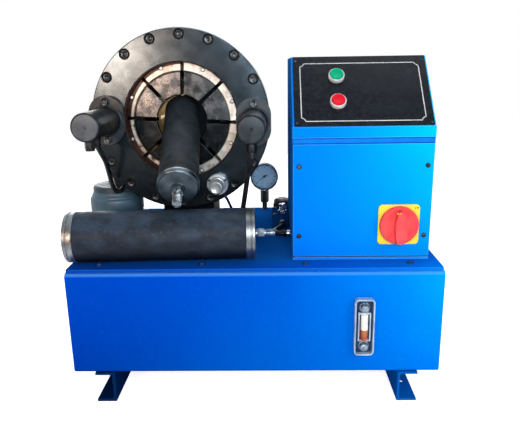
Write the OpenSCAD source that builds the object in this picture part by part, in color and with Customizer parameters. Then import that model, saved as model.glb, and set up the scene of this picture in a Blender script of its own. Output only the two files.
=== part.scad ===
// Bench hose crimping machine: oil tank with motor and control box, head with eight dies,
// and two large hose assemblies.
// Millimetres, +Z up, +X right, +Y back. Origin on the floor at the centre of the four foot bolt holes.

/* [Tank] */
// Width of the oil tank
tank_w = 700; // [690:1:715]
// Depth of the oil tank
tank_d = 480; // [470:1:500]
// Height of the channel feet
foot_h = 62; // [50:1:80]
// Height of the tank body over the feet
tank_h = 203; // [200:1:206]
// Thickness of the cover plate
cover_t = 7; // [4:0.5:7]
// Radius of the tank's rolled top and bottom edges
tank_edge_r = 9; // [4:1:12]

/* [Feet] */
// Distance from the middle of the tank to a foot's web
foot_web_x = 272; // [260:1:285]
// Width of a foot's flanges
foot_w = 38; // [34:1:45]
// Thickness of the channel
foot_t = 5; // [4:0.5:6]
// Spacing of the foot bolt holes across the tank
foot_hole_dx = 588; // [584:2:592]
// Spacing of the foot bolt holes from front to back
foot_hole_dy = 346; // [320:1:400]
// Diameter of the foot bolt holes
foot_hole_d = 11; // [9:0.5:13]

/* [Head] */
// Head axis, from the middle of the tank
head_x = -153; // [-156:1:-150]
// Head axis, over the floor
head_z = 521; // [516:1:526]
// Front face of the flange, from the middle of the tank
flange_y = -23; // [-26:1:-20]
// Radius of the flange
flange_r = 185; // [183:1:188]
// Thickness of the flange
flange_t = 30; // [29:1:31]
// Radius of the flange's bore
flange_bore_r = 118; // [118:0.5:119]
// Radius of the bolt circle
bolt_circle_r = 172.5; // [172:0.5:173]
// Radius of the barrel
barrel_r = 182; // [181:1:183]
// Radius of the barrel's piston bore
piston_bore_r = 161.4; // [161.4:0.1:162]
// Radius of the hole in the barrel's back wall
rear_bore_r = 80; // [60:1:90]

/* [Dies] */
// Radius of the die opening
die_bore_r = 51; // [51:0.5:54]
// Radius at which a die meets its shoe
die_back_r = 100.4; // [100.4:0.1:101]
// Width of the slots between the dies
die_gap = 7; // [6.3:0.1:7.5]
// Depth of the dies' front faces behind the flange's face
die_recess = 16; // [14:1:18]

/* [Return cylinders] */
// Radius of the circle the return cylinders stand on
ram_circle_r = 151.5; // [151:0.5:152]
// Diameter of a return cylinder
ram_d = 54; // [50:1:58]
// Reach of a return cylinder in front of the flange
ram_reach = 153; // [150:1:158]

/* [Control box] */
// Left side of the box
box_x0 = 73; // [73:1:76]
// Width of the box
box_w = 257; // [250:1:257]
// Front of the box, from the middle of the tank
box_y0 = -188.5; // [-190:0.5:-185]
// Depth of the box
box_d = 335; // [300:5:350]
// Height of the front fold over the floor
fold_z = 522; // [518:1:526]
// Rise of the sloped panel
slope_rise = 122; // [118:1:126]
// Run of the sloped panel
slope_run = 109.5; // [106:0.5:112]

/* [Hose assemblies] */
// Diameter of the lying hose
hose_a_d = 96.6; // [94:0.1:98]
// Length of the lying hose
hose_a_len = 357; // [350:1:368]
// Diameter of the hose held in the dies
hose_b_d = 76; // [74:0.5:76]
// Length of the hose held in the dies
hose_b_len = 276; // [250:1:285]

/* [Hidden] */
$fn = 64;
eps = 0.01;
DIE_NODES = ["shoe_1", "shoe_2", "shoe_3", "shoe_4", "shoe_5", "shoe_6", "shoe_7", "shoe_8",
    "die_1", "die_2", "die_3", "die_4", "die_5", "die_6", "die_7", "die_8"];
BASE_NODES = ["tank_shell", "tank_cover", "cover_screws", "feet", "level_frame", "level_glass",
    "level_bolts", "filler_cap", "motor_case", "motor_rotor", "pump"];
HEAD_NODES = ["head_pedestal", "head_barrel", "front_flange", "flange_bolts", "ring_piston",
    "return_rods", "return_cyl_left", "return_cyl_right", "cylinder_brackets",
    "pressure_line_left", "pressure_line_right", "sensor", "sensor_cable"];
VALVE_NODES = ["valve_block", "valve_fittings", "valve_line", "gauge_case", "gauge_needle", "gauge_glass"];
BOX_NODES = ["box_shell", "box_cover", "box_screws", "panel_plate", "button_bezels", "green_button",
    "red_button", "switch_plate", "switch_knob"];
HOSE_NODES = ["hose_a_cover", "hose_a_ends", "hose_a_adapter", "hose_b_cover", "hose_b_ends"];

// tank
shell_t = 4;
tank_top = foot_h + tank_h;
cover_top = tank_top + cover_t;
rim_w = 30;
rim_t = 10;
cover_screw_x = [-291, -97, 97, 291];
cover_screw_y = 212;
screw_r = 5;
screw_h = 4;

// sight gauge, on the tank's front
level_x = 203.5;
level_z = 160;
level_w = 37;
level_h = 112;
level_t = 14;
level_bolt_dz = 77;
level_bolt_r = 8;
window_w = 17;
window_h = 52;

// filler cap
filler_x = 59;
filler_y = 172;
neck_r = 17;
neck_h = 16;
cap_r = 21;
cap_h = 32;
cap_gap = 0.4;

// motor, with its fan under the cowl and the pump in the tank
motor_x = -318;
motor_y = 45;
motor_r = 59;
cowl_r = 50;
motor_top = 377;
motor_floor = cover_top + 16;
fan_z = 346;
shaft_r = 7;
shaft_bore_r = 7.4;
pump_r = 24;
pump_z = 196;
pump_h = tank_top - pump_z;

// head
die_y = flange_y + die_recess;
barrel_len = 180;
flange_turn = 1.4;
back_wall_t = 25;
bolt_angles = [for (i = [0:17]) if (abs(cos(90 + 20 * i)) < 0.96) 90 + 20 * i - flange_turn];
bolt_r = 5;
bolt_head_r = 8;
bolt_head_h = 9;
pedestal_w = 113;
pedestal_y0 = 30;
pedestal_d = 140;
cradle_rise = 30;

// ring piston and shoes share one cone; depths are measured from the flange's front face
cone_slope = 0.4;
cone_r = 138;
piston_front = 46;
piston_back = 152;
piston_r = piston_bore_r - 0.3;
piston_throat_r = 106;
shoe_gap = 1.2;
shoe_back = 120;
shoe_shoulder = flange_t + 0.6;
strip_r = flange_bore_r - 0.6;
die_len = 90;
die_screw_r = 112.7;
die_angle = 45;
die_turn = 3;

// return cylinders, in line across the flange; ram_at gives their axes in the head's frame
function ram_at(side) = side * ram_circle_r * [cos(flange_turn), sin(flange_turn)];
function ram_foot(side) = [head_x + ram_at(side)[0], head_z - ram_at(side)[1] - ram_d / 2];
bracket_t = 12;
bracket_w = 72;
bracket_h = 101;
bracket_screw_dz = 78;
ram_bore_r = 20;
ram_wall_end = 14;
rod_r = 8.8;
rod_hole_r = 9.2;
rod_head_r = ram_bore_r - 0.4;
rod_head_t = 15;
rod_reach = 100;
ram_port_depth = 19;
ram_port_r = 10;
ram_port_len = 18;
rear_port_depth = 64;
rear_port_r = 7.5;
rear_port_len = 6;

// lug on the flange's lower left, and its outline seen along the head axis
lug_angle = 224;
lug_depth = 2;
lug_t = 10;
lug_outline = [[150, 0], [160, 60], [172, 55], [179, 43], [186, 31], [193, 19], [199, 9], [202, 3], [202, -1],
    [200, -3], [187, -5], [170, -20]];

// sensor on the flange
sensor_x = -80;
sensor_z = 388;
sensor_disc_r = 22.5;
sensor_cap_r = 13.5;
sensor_len = 50;
gland_angle = -60;
gland_reach = 28.5;
gland_depth = 7;
gland_r = 4.5;

// union on the valve block's front, plain hex nuts on the cover, and the glands of box and cable
union_x = 58;
union_z = cover_top + 14;
union_len = 12;
nut_h = 10;
nut_left = [-287, 132];
nut_right = [-25, -85];
block_y0 = 35;
union_y = block_y0 - union_len;
box_gland = [box_x0 - 7, -32, cover_top + 7];
cable_gland = [-46, 29];
cable_gland_h = 8;

// flexible lines: diameters and routes, with straight ends square to what they meet
line_d = 10;
cable_d = 6;
line_left_top = [ram_foot(-1)[0], -112, ram_foot(-1)[1] - 6];
line_left_route = [line_left_top, line_left_top - [0, 0, 6], [-303.5, -110, 479], [-300.5, -101, 465],
    [-298.5, -88, 450], [-299, -76, 436], [-300, -64, 421], [-301, -53, 406], [-301, -44, 391.5],
    [-300, -36.5, 381], [-297, -29.5, 375.3], [-292.5, -21, 373.5], [-289.5, -11, 376], [-288, 1, 383.5],
    [-287, 15, 387], [-287, 30, 388], [-287, 60, 388], [-287, 90, 387], [-287, 114, 378], [-287, 127, 358],
    [-287, 131, 332], [-287, 132, cover_top + 34], [-287, 132, cover_top + 22], [-287, 132, cover_top + nut_h]];
line_right_top = [ram_foot(1)[0], -157, ram_foot(1)[1] - 18];
line_right_route = [line_right_top, line_right_top - [0, 0, 4], [-2, -156, 463], [-5, -148, 452],
    [-8, -138, 439],
    [-12, -128, 422], [-15, -120, 404], [-18, -114, 386], [-21, -109, 368], [-24, -104, 350], [-25, -97, 332],
    [-25, -90, 315], [-25, -86, 302], [-25, -85, cover_top + 20], [-25, -85, cover_top + 15],
    [-25, -85, cover_top + nut_h]];
valve_line_route = [[union_x, union_y, union_z], [58, 20, union_z], [58, 17, union_z], [57, 10, 285.6],
    [53, 2, 284.5], [47, -6, 283], [42, -14, 281], [41, -22, 279.8], [45, -29, 279], [52, -32, cover_top + 7],
    [59, -32, cover_top + 7], box_gland];
cable_exit = [sensor_x + gland_reach * cos(gland_angle), flange_y - gland_depth,
    sensor_z + gland_reach * sin(gland_angle)];
cable_route = [cable_exit, cable_exit + 5 * [cos(gland_angle), 0, sin(gland_angle)], [-60, -29, 353],
    [-57, -23, 343], [-54, -13, 332], [-51, 0, 318], [-49, 12, 306], [-47, 22, 297], [-46, 28, 290],
    [-46, 29, cover_top + 14], [-46, 29, cover_top + 11], [-46, 29, cover_top + cable_gland_h]];

// valve block, and the gauge at the back of the cover
block_x0 = 34;
block_w = 36;
block_d = 76;
block_h = 30;
gauge_x = 15;
gauge_y = 222;
gauge_z = 357;
gauge_r = 35;
gauge_depth = 30;
gauge_rim = 4;
gauge_spigot_r = 5;
gauge_hex_z = 291;
needle_angle = 217;

// control box
box_wall = 3;
box_x1 = box_x0 + box_w;
box_y1 = box_y0 + box_d;
slope_angle = atan2(slope_rise, slope_run);
box_top = fold_z + slope_rise;
seam_z = 491;
hood_z = 502;
hood_t = 1.5;
plate_z = cover_top + 7;
panel_w = 250;
panel_start = 0.5;
panel_len = 161;
panel_screws = [5, 149];
panel_t = 3;
panel_x = (box_x0 + box_x1) / 2;
button_x = 157;
green_s = 110.5;
red_s = 51;
bezel_r = 15;
bezel_h = 9;
bezel_ledge = 4;
sleeve_r = 11.2;
button_r = 12.6;
button_neck_r = 10.5;
button_travel = 3;
button_proud = 2;
button_stem_r = 6;
button_len = 30;

// main switch on the front cover
switch_x = 269.5;
switch_z = 341;
switch_w = 76;
switch_corner_r = 8;
knob_r = 36;
knob_h = 11;
grip_h = 13;
grip_w = 17;
knob_shaft_r = 4;
cover_y = box_y0 - box_wall;

// lying hose
hose_a_yaw = 2.7;
hose_a_x0 = -353;
hose_a_y0 = -187.3;
hose_a_z = cover_top + hose_a_d / 2 + 0.1;
collar_l = 19;
hose_a_bore_r = hose_a_d / 2 - 9;

// hose held in the dies: its downward tilt in the open dies, its rear end's middle, and its end fitting
hose_b_tilt = 26;
hose_b_yaw = 5;
hose_b_rear = [-157.4, die_y + 50.2, head_z + 16.3];
hose_b_collar = 14;
hose_b_bore_r = hose_b_d / 2 - 8;

module head_frame() {
    translate([head_x, flange_y, head_z]) rotate([-90, 0, 0]) children();
}

module slope_frame() {
    translate([0, box_y0, fold_z]) rotate([slope_angle, 0, 0]) children();
}

module hose_a_frame() {
    translate([hose_a_x0, hose_a_y0, hose_a_z]) rotate([0, 0, hose_a_yaw]) rotate([0, 90, 0]) children();
}

module hose_b_frame() {
    translate(hose_b_rear) rotate([90 + hose_b_tilt, 0, hose_b_yaw]) children();
}

// A round-cornered plate in XY, standing on z = 0
module round_plate(w, h, r, t) {
    linear_extrude(t) union() {
        square([w - 2 * r, h], center = true);
        square([w, h - 2 * r], center = true);
        for (x = [-1, 1], y = [-1, 1]) translate([x * (w / 2 - r), y * (h / 2 - r)]) circle(r);
    }
}

// Socket head screw with its head's foot at z = 0, the head towards +Z
module socket_screw(head_r, head_h, shank_r, shank_l) {
    difference() {
        union() {
            cylinder(r = head_r, h = head_h);
            translate([0, 0, -shank_l]) cylinder(r = shank_r, h = shank_l + eps);
        }
        translate([0, 0, head_h * 0.4]) cylinder(r = head_r * 0.5, h = head_h, $fn = 6);
    }
}

// Smooth points through a route, and a triangulated tube along them
function hermite(a, b, ta, tb, t) = let (t2 = t * t, t3 = t2 * t)
    (2 * t3 - 3 * t2 + 1) * a + (t3 - 2 * t2 + t) * ta + (3 * t2 - 2 * t3) * b + (t3 - t2) * tb;
function route_tangent(p, i) = (p[min(i + 1, len(p) - 1)] - p[max(i - 1, 0)]) / 2;
function smooth_route(p, n) = concat(
    [for (i = [0:len(p) - 2], k = [0:n - 1])
        hermite(p[i], p[i + 1], route_tangent(p, i), route_tangent(p, i + 1), k / n)],
    [p[len(p) - 1]]);
function unit(v) = v / norm(v);
function square_to(v, t) = unit(v - (v * t) * t);
function tube_dirs(p) = [for (i = [0:len(p) - 1]) unit(route_tangent(p, i))];
function tube_sides(d) = [for (i = 0, s = square_to([0.3, 0.9, 0.1], d[0]); i < len(d);
    i = i + 1, s = i < len(d) ? square_to(s, d[i]) : s) s];

module tube_along(route, d, sides = 8, steps = 2) {
    p = smooth_route(route, steps);
    dirs = tube_dirs(p);
    side = tube_sides(dirs);
    n = len(p);
    ring_points = [for (i = [0:n - 1], k = [0:sides - 1])
        let (a = 360 * k / sides, up = cross(dirs[i], side[i]))
        p[i] + d / 2 * (cos(a) * side[i] + sin(a) * up)];
    skin = [for (i = [0:n - 2], k = [0:sides - 1], half = [0, 1])
        let (a = i * sides + k, b = i * sides + (k + 1) % sides, c = a + sides, e = b + sides)
        half == 0 ? [a, c, b] : [b, c, e]];
    first = [for (k = [1:sides - 2]) [0, k, k + 1]];
    last = [for (k = [1:sides - 2]) [(n - 1) * sides, (n - 1) * sides + k + 1, (n - 1) * sides + k]];
    polyhedron(concat([p[0], p[n - 1]], ring_points),
        [for (f = concat(skin, first, last)) [f[0] + 2, f[1] + 2, f[2] + 2]], convexity = 6);
}

// ---- base ----

// Tank body: folded sheet with rolled front and back edges, and a screwed rim round its open top
module tank_shell() {
    r = tank_edge_r;
    color("royalblue") difference() {
        translate([-tank_w / 2, 0, 0]) rotate([90, 0, 90]) linear_extrude(tank_w) union() {
            translate([-tank_d / 2 + r, foot_h]) square([tank_d - 2 * r, tank_h]);
            translate([-tank_d / 2, foot_h + r]) square([tank_d, tank_h - 2 * r]);
            for (y = [-1, 1], z = [foot_h + r, tank_top - r]) translate([y * (tank_d / 2 - r), z]) circle(r);
        }
        translate([-tank_w / 2 + shell_t, -tank_d / 2 + shell_t, foot_h + shell_t])
            cube([tank_w - 2 * shell_t, tank_d - 2 * shell_t, tank_h - shell_t - rim_t]);
        translate([-tank_w / 2 + rim_w, -tank_d / 2 + rim_w, tank_top - rim_t - 1])
            cube([tank_w - 2 * rim_w, tank_d - 2 * rim_w, rim_t + 2]);
        translate([motor_x, motor_y, tank_top - rim_t - 1]) cylinder(r = pump_r + 1, h = rim_t + 2);
        for (dz = [-1, 1]) translate([level_x, -tank_d / 2 - 1, level_z + dz * level_bolt_dz / 2])
            rotate([-90, 0, 0]) cylinder(r = 6.2, h = shell_t + 2);
    }
}

module tank_cover() {
    color("royalblue") difference() {
        union() {
            translate([0, 0, tank_top]) round_plate(tank_w - 6, tank_d - 6, 4, cover_t);
            translate([filler_x, filler_y, cover_top - eps]) cylinder(r = neck_r, h = neck_h);
        }
        translate([filler_x, filler_y, tank_top - 1]) cylinder(r = neck_r - 4, h = cover_t + neck_h + 2);
        translate([motor_x, motor_y, tank_top - 1]) cylinder(r = shaft_r + 3, h = cover_t + 2);
        translate([gauge_x, gauge_y, tank_top - 1]) cylinder(r = gauge_spigot_r, h = cover_t + 2);
        for (x = cover_screw_x, y = [-1, 1]) translate([x, y * cover_screw_y, tank_top - 1])
            cylinder(r = 3.2, h = cover_t + 2);
    }
}

module cover_screws() {
    color("steelblue") for (x = cover_screw_x, y = [-1, 1]) translate([x, y * cover_screw_y, cover_top])
        socket_screw(screw_r, screw_h, 3.1, cover_t);
}

module feet() {
    color("mediumblue") for (s = [-1, 1]) difference() {
        translate([s > 0 ? foot_web_x : -foot_web_x - foot_w, -tank_d / 2, 0]) cube([foot_w, tank_d, foot_h]);
        translate([s > 0 ? foot_web_x + foot_t : -foot_web_x - foot_w - 1, -tank_d / 2 - 1, foot_t])
            cube([foot_w - foot_t + 1, tank_d + 2, foot_h - 2 * foot_t]);
        for (y = [-1, 1]) translate([s * foot_hole_dx / 2, y * foot_hole_dy / 2, -1])
            cylinder(d = foot_hole_d, h = foot_t + 2);
    }
}

// Sight gauge frame: a channel with a long window
module level_frame() {
    color("silver") translate([level_x, -tank_d / 2, level_z]) rotate([90, 0, 0]) difference() {
        round_plate(level_w, level_h, 8, level_t);
        translate([0, 0, 5]) round_plate(level_w - 6, level_h - 6, 5, level_t);
        for (dz = [-1, 1]) translate([0, dz * level_bolt_dz / 2, -1]) cylinder(r = 5.2, h = level_t);
    }
}

module level_glass() {
    color("lightgray", 0.6) translate([level_x, -tank_d / 2 - 5, level_z]) rotate([90, 0, 0])
        round_plate(window_w, window_h, 6, 8);
}

module level_bolts() {
    color("silver") for (dz = [-1, 1])
        translate([level_x, -tank_d / 2 - 5, level_z + dz * level_bolt_dz / 2]) rotate([90, 0, 0]) union() {
            cylinder(r = level_bolt_r + 2, h = 3);
            translate([0, 0, 3 - eps]) cylinder(r = level_bolt_r, h = 8, $fn = 6);
            translate([0, 0, -14]) cylinder(r = 5, h = 14 + eps);
        }
}

// Breather cap that lifts off its neck
module filler_cap() {
    color("dimgray") translate([filler_x, filler_y, cover_top + 1]) difference() {
        union() {
            cylinder(r = cap_r, h = cap_h);
            translate([0, 0, cap_h - eps]) cylinder(r1 = cap_r, r2 = cap_r - 4, h = 6);
            for (a = [0:20:340]) rotate([0, 0, a]) translate([cap_r, 0, 3]) cylinder(r = 1.6, h = cap_h - 6);
        }
        translate([0, 0, -1]) cylinder(r = neck_r + cap_gap, h = neck_h + 1.4);
    }
}

// Electric motor: foot ring, ribbed body, and a cowl round the fan
module motor_case() {
    z0 = cover_top;
    color("slategray") translate([motor_x, motor_y, 0]) difference() {
        rotate_extrude() polygon([[0, z0], [motor_r, z0], [motor_r, z0 + 34], [motor_r - 2, z0 + 37],
            [motor_r - 2, z0 + 43], [motor_r, z0 + 46], [motor_r, motor_top - 27],
            [motor_r - 3, motor_top - 22],
            [cowl_r + 1, motor_top - 15], [cowl_r, motor_top - 11], [cowl_r, motor_top - 3],
            [cowl_r - 5, motor_top], [0, motor_top]]);
        translate([0, 0, z0 - 1]) cylinder(r = shaft_bore_r, h = motor_top - z0 - 3);
        translate([0, 0, motor_floor + 16]) cylinder(r = motor_r - 13, h = motor_top - 4 - motor_floor - 16);
        for (a = [0:60:300]) rotate([0, 0, a]) translate([cowl_r / 2 + 8, 0, motor_top - 5])
            cylinder(r = 4, h = 6);
    }
}

// Shaft with the fan, down to the pump
module motor_rotor() {
    color("gray") translate([motor_x, motor_y, 0]) union() {
        translate([0, 0, pump_z + 20]) cylinder(r = shaft_r, h = motor_top - 10 - pump_z - 20);
        translate([0, 0, fan_z]) cylinder(r = 16, h = 18);
        for (a = [0:45:315]) rotate([0, 0, a]) translate([12, -1.5, fan_z + 2]) rotate([0, 12, 0])
            translate([0, 0, 2]) cube([27, 3, 12]);
    }
}

module pump() {
    color("gray") translate([motor_x, motor_y, pump_z]) difference() {
        union() {
            cylinder(r = pump_r, h = pump_h);
            translate([pump_r - 6, -9, 6]) cube([16, 18, 30]);
        }
        translate([0, 0, 18]) cylinder(r = shaft_bore_r, h = pump_h);
    }
}

// ---- head ----

module head_pedestal() {
    color("dimgray") difference() {
        union() {
            translate([head_x - pedestal_w / 2, pedestal_y0, cover_top])
                cube([pedestal_w, pedestal_d, head_z - barrel_r - cover_top + cradle_rise]);
            translate([head_x - pedestal_w / 2 - 20, pedestal_y0 - 10, cover_top])
                cube([pedestal_w + 40, pedestal_d + 20, 8]);
        }
        translate([head_x, pedestal_y0 - 20, head_z]) rotate([-90, 0, 0])
            cylinder(r = barrel_r, h = pedestal_d + 40, $fn = 128);
    }
}

module head_barrel() {
    z0 = flange_t;
    z1 = flange_t + barrel_len;
    color("dimgray") head_frame() difference() {
        rotate_extrude($fn = 128) polygon([[piston_bore_r, z0], [barrel_r, z0], [barrel_r, z1 - 5],
            [barrel_r - 5, z1], [rear_bore_r, z1], [rear_bore_r, z1 - back_wall_t],
            [piston_bore_r, z1 - back_wall_t]]);
        for (a = bolt_angles) rotate([0, 0, -a]) translate([bolt_circle_r, 0, z0 - 1])
            cylinder(r = bolt_r, h = 24);
    }
}

module front_flange() {
    color("dimgray") head_frame() difference() {
        union() {
            rotate_extrude($fn = 128) polygon([[flange_bore_r + 2, 0], [flange_r - 3, 0], [flange_r, 3],
                [flange_r, flange_t], [flange_bore_r, flange_t], [flange_bore_r, 2]]);
            rotate([0, 0, -lug_angle]) translate([0, 0, lug_depth]) linear_extrude(lug_t) polygon(lug_outline);
        }
        for (a = bolt_angles) rotate([0, 0, -a]) translate([bolt_circle_r, 0, 0]) {
            translate([0, 0, -1]) cylinder(r = bolt_head_r + 1.4, h = bolt_head_h + 1);
            cylinder(r = bolt_r, h = flange_t + 1);
        }
        for (s = [-1, 1]) translate([ram_at(s)[0], ram_at(s)[1], -1]) {
            cylinder(r = rod_hole_r, h = flange_t + 2);
            for (k = [-1, 1]) translate([0, k * bracket_screw_dz / 2, 0]) cylinder(r = bolt_r, h = 16);
        }
    }
}

module flange_bolts() {
    color("darkgray") head_frame() {
        for (a = bolt_angles) rotate([0, 0, -a]) translate([bolt_circle_r, 0, bolt_head_h]) mirror([0, 0, 1])
            socket_screw(bolt_head_r, bolt_head_h - 0.5, bolt_r, 42);
        for (s = [-1, 1], k = [-1, 1])
            translate([ram_at(s)[0], ram_at(s)[1] + k * bracket_screw_dz / 2, -bracket_t])
                mirror([0, 0, 1]) socket_screw(bolt_head_r, bolt_head_h, bolt_r, 26);
    }
}

module ring_piston() {
    cone_end = piston_front + (cone_r - piston_throat_r) / cone_slope;
    color("silver") head_frame() rotate_extrude($fn = 128) polygon([[cone_r, piston_front],
        [piston_r, piston_front], [piston_r, piston_back], [piston_throat_r, piston_back],
        [piston_throat_r, cone_end]]);
}

// The two rods that pull the ring piston back, with their heads inside the return cylinders
module return_rods() {
    color("silver") head_frame() for (s = [-1, 1]) translate(ram_at(s)) union() {
        translate([0, 0, -rod_reach]) cylinder(r = rod_r, h = rod_reach + piston_front);
        translate([0, 0, -rod_reach - rod_head_t + eps]) cylinder(r = rod_head_r, h = rod_head_t);
    }
}

// Return cylinder: bored tube with a turned end and ports underneath, each [depth, radius, length]
module return_cylinder(side, ports) {
    head_frame() translate(ram_at(side)) difference() {
        union() {
            translate([0, 0, -ram_reach]) cylinder(d = ram_d, h = ram_reach - bracket_t);
            translate([0, 0, -ram_reach - 3]) cylinder(d1 = ram_d - 4, d2 = ram_d, h = 3 + eps);
            for (p = ports) rotate([-90, 0, 0]) translate([0, ram_reach - p[0], ram_d / 2 - 6])
                cylinder(r = p[1], h = p[2] + 6);
        }
        translate([0, 0, -ram_reach + ram_wall_end]) cylinder(r = ram_bore_r, h = ram_reach);
        translate([0, 0, -ram_reach - 4]) cylinder(r = 3, h = 4);
    }
}

module return_cyl_left() {
    color("darkslategray") return_cylinder(-1, [[ram_port_depth, ram_port_r, ram_port_len],
        [rear_port_depth, rear_port_r, rear_port_len]]);
}

module return_cyl_right() {
    color("darkslategray") return_cylinder(1, [[ram_port_depth, ram_port_r, ram_port_len]]);
}

// Oval plates that hold the return cylinders to the flange
module cylinder_brackets() {
    dz = (bracket_h - bracket_w) / 2;
    color("dimgray") head_frame() translate([0, 0, -bracket_t])
        for (s = [-1, 1]) translate(ram_at(s)) difference() {
        linear_extrude(bracket_t) union() {
            square([bracket_w, 2 * dz], center = true);
            for (k = [-1, 1]) translate([0, k * dz]) circle(bracket_w / 2);
        }
        translate([0, 0, -1]) cylinder(r = rod_hole_r, h = bracket_t + 2);
        for (k = [-1, 1]) translate([0, k * bracket_screw_dz / 2, -1]) cylinder(r = bolt_r, h = bracket_t + 2);
    }
}

// Round flanged sensor body on the flange, with its cap towards the front
module sensor() {
    color("silver") translate([sensor_x, flange_y, sensor_z]) rotate([90, 0, 0]) union() {
        cylinder(r = sensor_disc_r, h = 14);
        translate([0, 0, 14 - eps]) cylinder(r = sensor_cap_r + 3, h = 5);
        translate([0, 0, 19 - eps]) cylinder(r = sensor_cap_r, h = sensor_len - 19);
        for (a = [30:120:270]) rotate([0, 0, a]) translate([18.4, 0, 14 - eps]) cylinder(r = 2.6, h = 3);
        rotate([0, 0, gland_angle]) translate([sensor_disc_r - 2, 0, gland_depth]) rotate([0, 90, 0])
            cylinder(r = gland_r, h = gland_reach - sensor_disc_r + 2);
    }
}

module pressure_line_left() {
    color("black") tube_along(line_left_route, line_d);
}

module pressure_line_right() {
    color("black") tube_along(line_right_route, line_d);
}

module sensor_cable() {
    color("navy") tube_along(cable_route, cable_d);
}

// ---- shoes and dies ----

// One of the eight sectors of a ring, number n from 1, with half a slot taken off each side
module die_sector(n, profile) {
    head_frame() rotate([0, 0, die_turn - die_angle * n]) difference() {
        rotate_extrude(angle = die_angle, $fn = 96) polygon(profile);
        translate([0, -1, 0]) cube([200, 1 + die_gap / 2, 200]);
        rotate([0, 0, die_angle]) translate([0, -die_gap / 2, 0]) cube([200, die_gap / 2 + 1, 200]);
    }
}

module shoe(n) {
    r0 = cone_r - shoe_gap;
    color("gainsboro") {
        die_sector(n, [[die_back_r, die_recess], [strip_r, die_recess], [strip_r, shoe_shoulder],
            [r0, shoe_shoulder], [r0, piston_front], [r0 - cone_slope * (shoe_back - piston_front), shoe_back],
            [die_back_r, shoe_back]]);
        head_frame() rotate([0, 0, die_turn - die_angle * (n - 0.5)]) translate([die_screw_r, 0, die_recess])
            mirror([0, 0, 1]) socket_screw(4, 3, 2, 3);
    }
}

module die(n) {
    color("gray") die_sector(n, [[die_bore_r + 2, die_recess], [die_back_r, die_recess],
        [die_back_r, die_recess + die_len], [die_bore_r + 2, die_recess + die_len],
        [die_bore_r, die_recess + die_len - 2], [die_bore_r, die_recess + 2]]);
}

// ---- valves and gauge ----

module valve_block() {
    color("royalblue") translate([block_x0, block_y0, cover_top]) cube([block_w, block_d, block_h]);
}

// The block's union and valve cap, hex nuts where the lines enter the cover, and the two glands
module valve_fittings() {
    color("silver") {
        translate([union_x, block_y0, union_z]) rotate([90, 0, 0]) union() {
            cylinder(r = 9, h = 8, $fn = 6);
            translate([0, 0, 8 - eps]) cylinder(r = 7, h = union_len - 8 + eps);
        }
        translate([58, 50, cover_top + block_h]) union() {
            cylinder(r = 10, h = 9, $fn = 6);
            translate([0, 0, 9 - eps]) cylinder(r = 7, h = 8);
            translate([0, 0, 17 - eps]) cylinder(r = 8.5, h = 7, $fn = 6);
        }
        translate([0, 0, cover_top]) for (nut = [nut_left, nut_right]) translate(nut)
            cylinder(r = 9, h = nut_h, $fn = 6);
        translate([cable_gland[0], cable_gland[1], cover_top]) cylinder(r = 6, h = cable_gland_h);
        translate(box_gland) rotate([0, 90, 0]) cylinder(r = 7, h = 7);
    }
}

module valve_line() {
    color("black") tube_along(valve_line_route, line_d);
}

// Gauge: round case on a hex stem that screws into the cover
module gauge_case() {
    color("silver") translate([gauge_x, gauge_y, 0]) union() {
        translate([0, 0, gauge_z]) rotate([90, 0, 0]) difference() {
            translate([0, 0, -gauge_depth / 2]) cylinder(r = gauge_r, h = gauge_depth);
            translate([0, 0, 2]) cylinder(r = gauge_r - gauge_rim, h = gauge_depth);
        }
        translate([0, 0, cover_top - 6]) cylinder(r = gauge_spigot_r, h = 7);
        translate([0, 0, cover_top]) cylinder(r = 6.5, h = gauge_hex_z - cover_top + 2);
        translate([0, 0, gauge_hex_z]) cylinder(r = 11, h = gauge_z - gauge_r - gauge_hex_z + 3, $fn = 6);
    }
}

module gauge_needle() {
    color("black") translate([gauge_x, gauge_y - 4, gauge_z]) rotate([90, 0, 0]) union() {
        cylinder(r = 3, h = 2.5);
        rotate([0, 0, needle_angle]) translate([-7, -0.9, 0.6]) cube([31, 1.8, 1.2]);
    }
}

module gauge_glass() {
    color("white", 0.5) translate([gauge_x, gauge_y - 8, gauge_z]) rotate([90, 0, 0])
        cylinder(r = gauge_r - gauge_rim, h = 2.5);
}

// ---- control box ----

// Folded cabinet with a sloped top panel and a hood strip, open at the bottom and behind the front cover
module box_shell() {
    t = box_wall;
    k = t * tan(slope_angle / 2);
    back = box_y0 + slope_run;
    color("dodgerblue") difference() {
        union() {
            translate([box_x0, 0, 0]) rotate([90, 0, 90]) linear_extrude(box_w) polygon([[box_y0, cover_top],
                [box_y0, fold_z], [back, box_top], [box_y1, box_top], [box_y1, cover_top]]);
            translate([box_x0, box_y0 - hood_t, hood_z]) cube([box_w, hood_t + eps, fold_z - hood_z]);
        }
        translate([box_x0 + t, 0, 0]) rotate([90, 0, 90]) linear_extrude(box_w - 2 * t)
            polygon([[box_y0 + t, cover_top - 1], [box_y0 + t, fold_z - k], [back + k, box_top - t],
                [box_y1 - t, box_top - t], [box_y1 - t, cover_top - 1]]);
        translate([box_x0 + 20, box_y0 - 1, cover_top + 18])
            cube([box_w - 40, t + 2, seam_z - cover_top - 36]);
        for (s = [green_s, red_s]) slope_frame() translate([button_x, s, -t - 2])
            cylinder(r = sleeve_r, h = t + 4);
    }
}

module box_cover() {
    color("dodgerblue") difference() {
        translate([box_x0 + 1, cover_y, plate_z]) cube([box_w - 2, box_wall, seam_z - plate_z]);
        translate([switch_x, cover_y - 1, switch_z]) rotate([-90, 0, 0])
            cylinder(r = knob_shaft_r + 0.4, h = box_wall + 2);
    }
}

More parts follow.
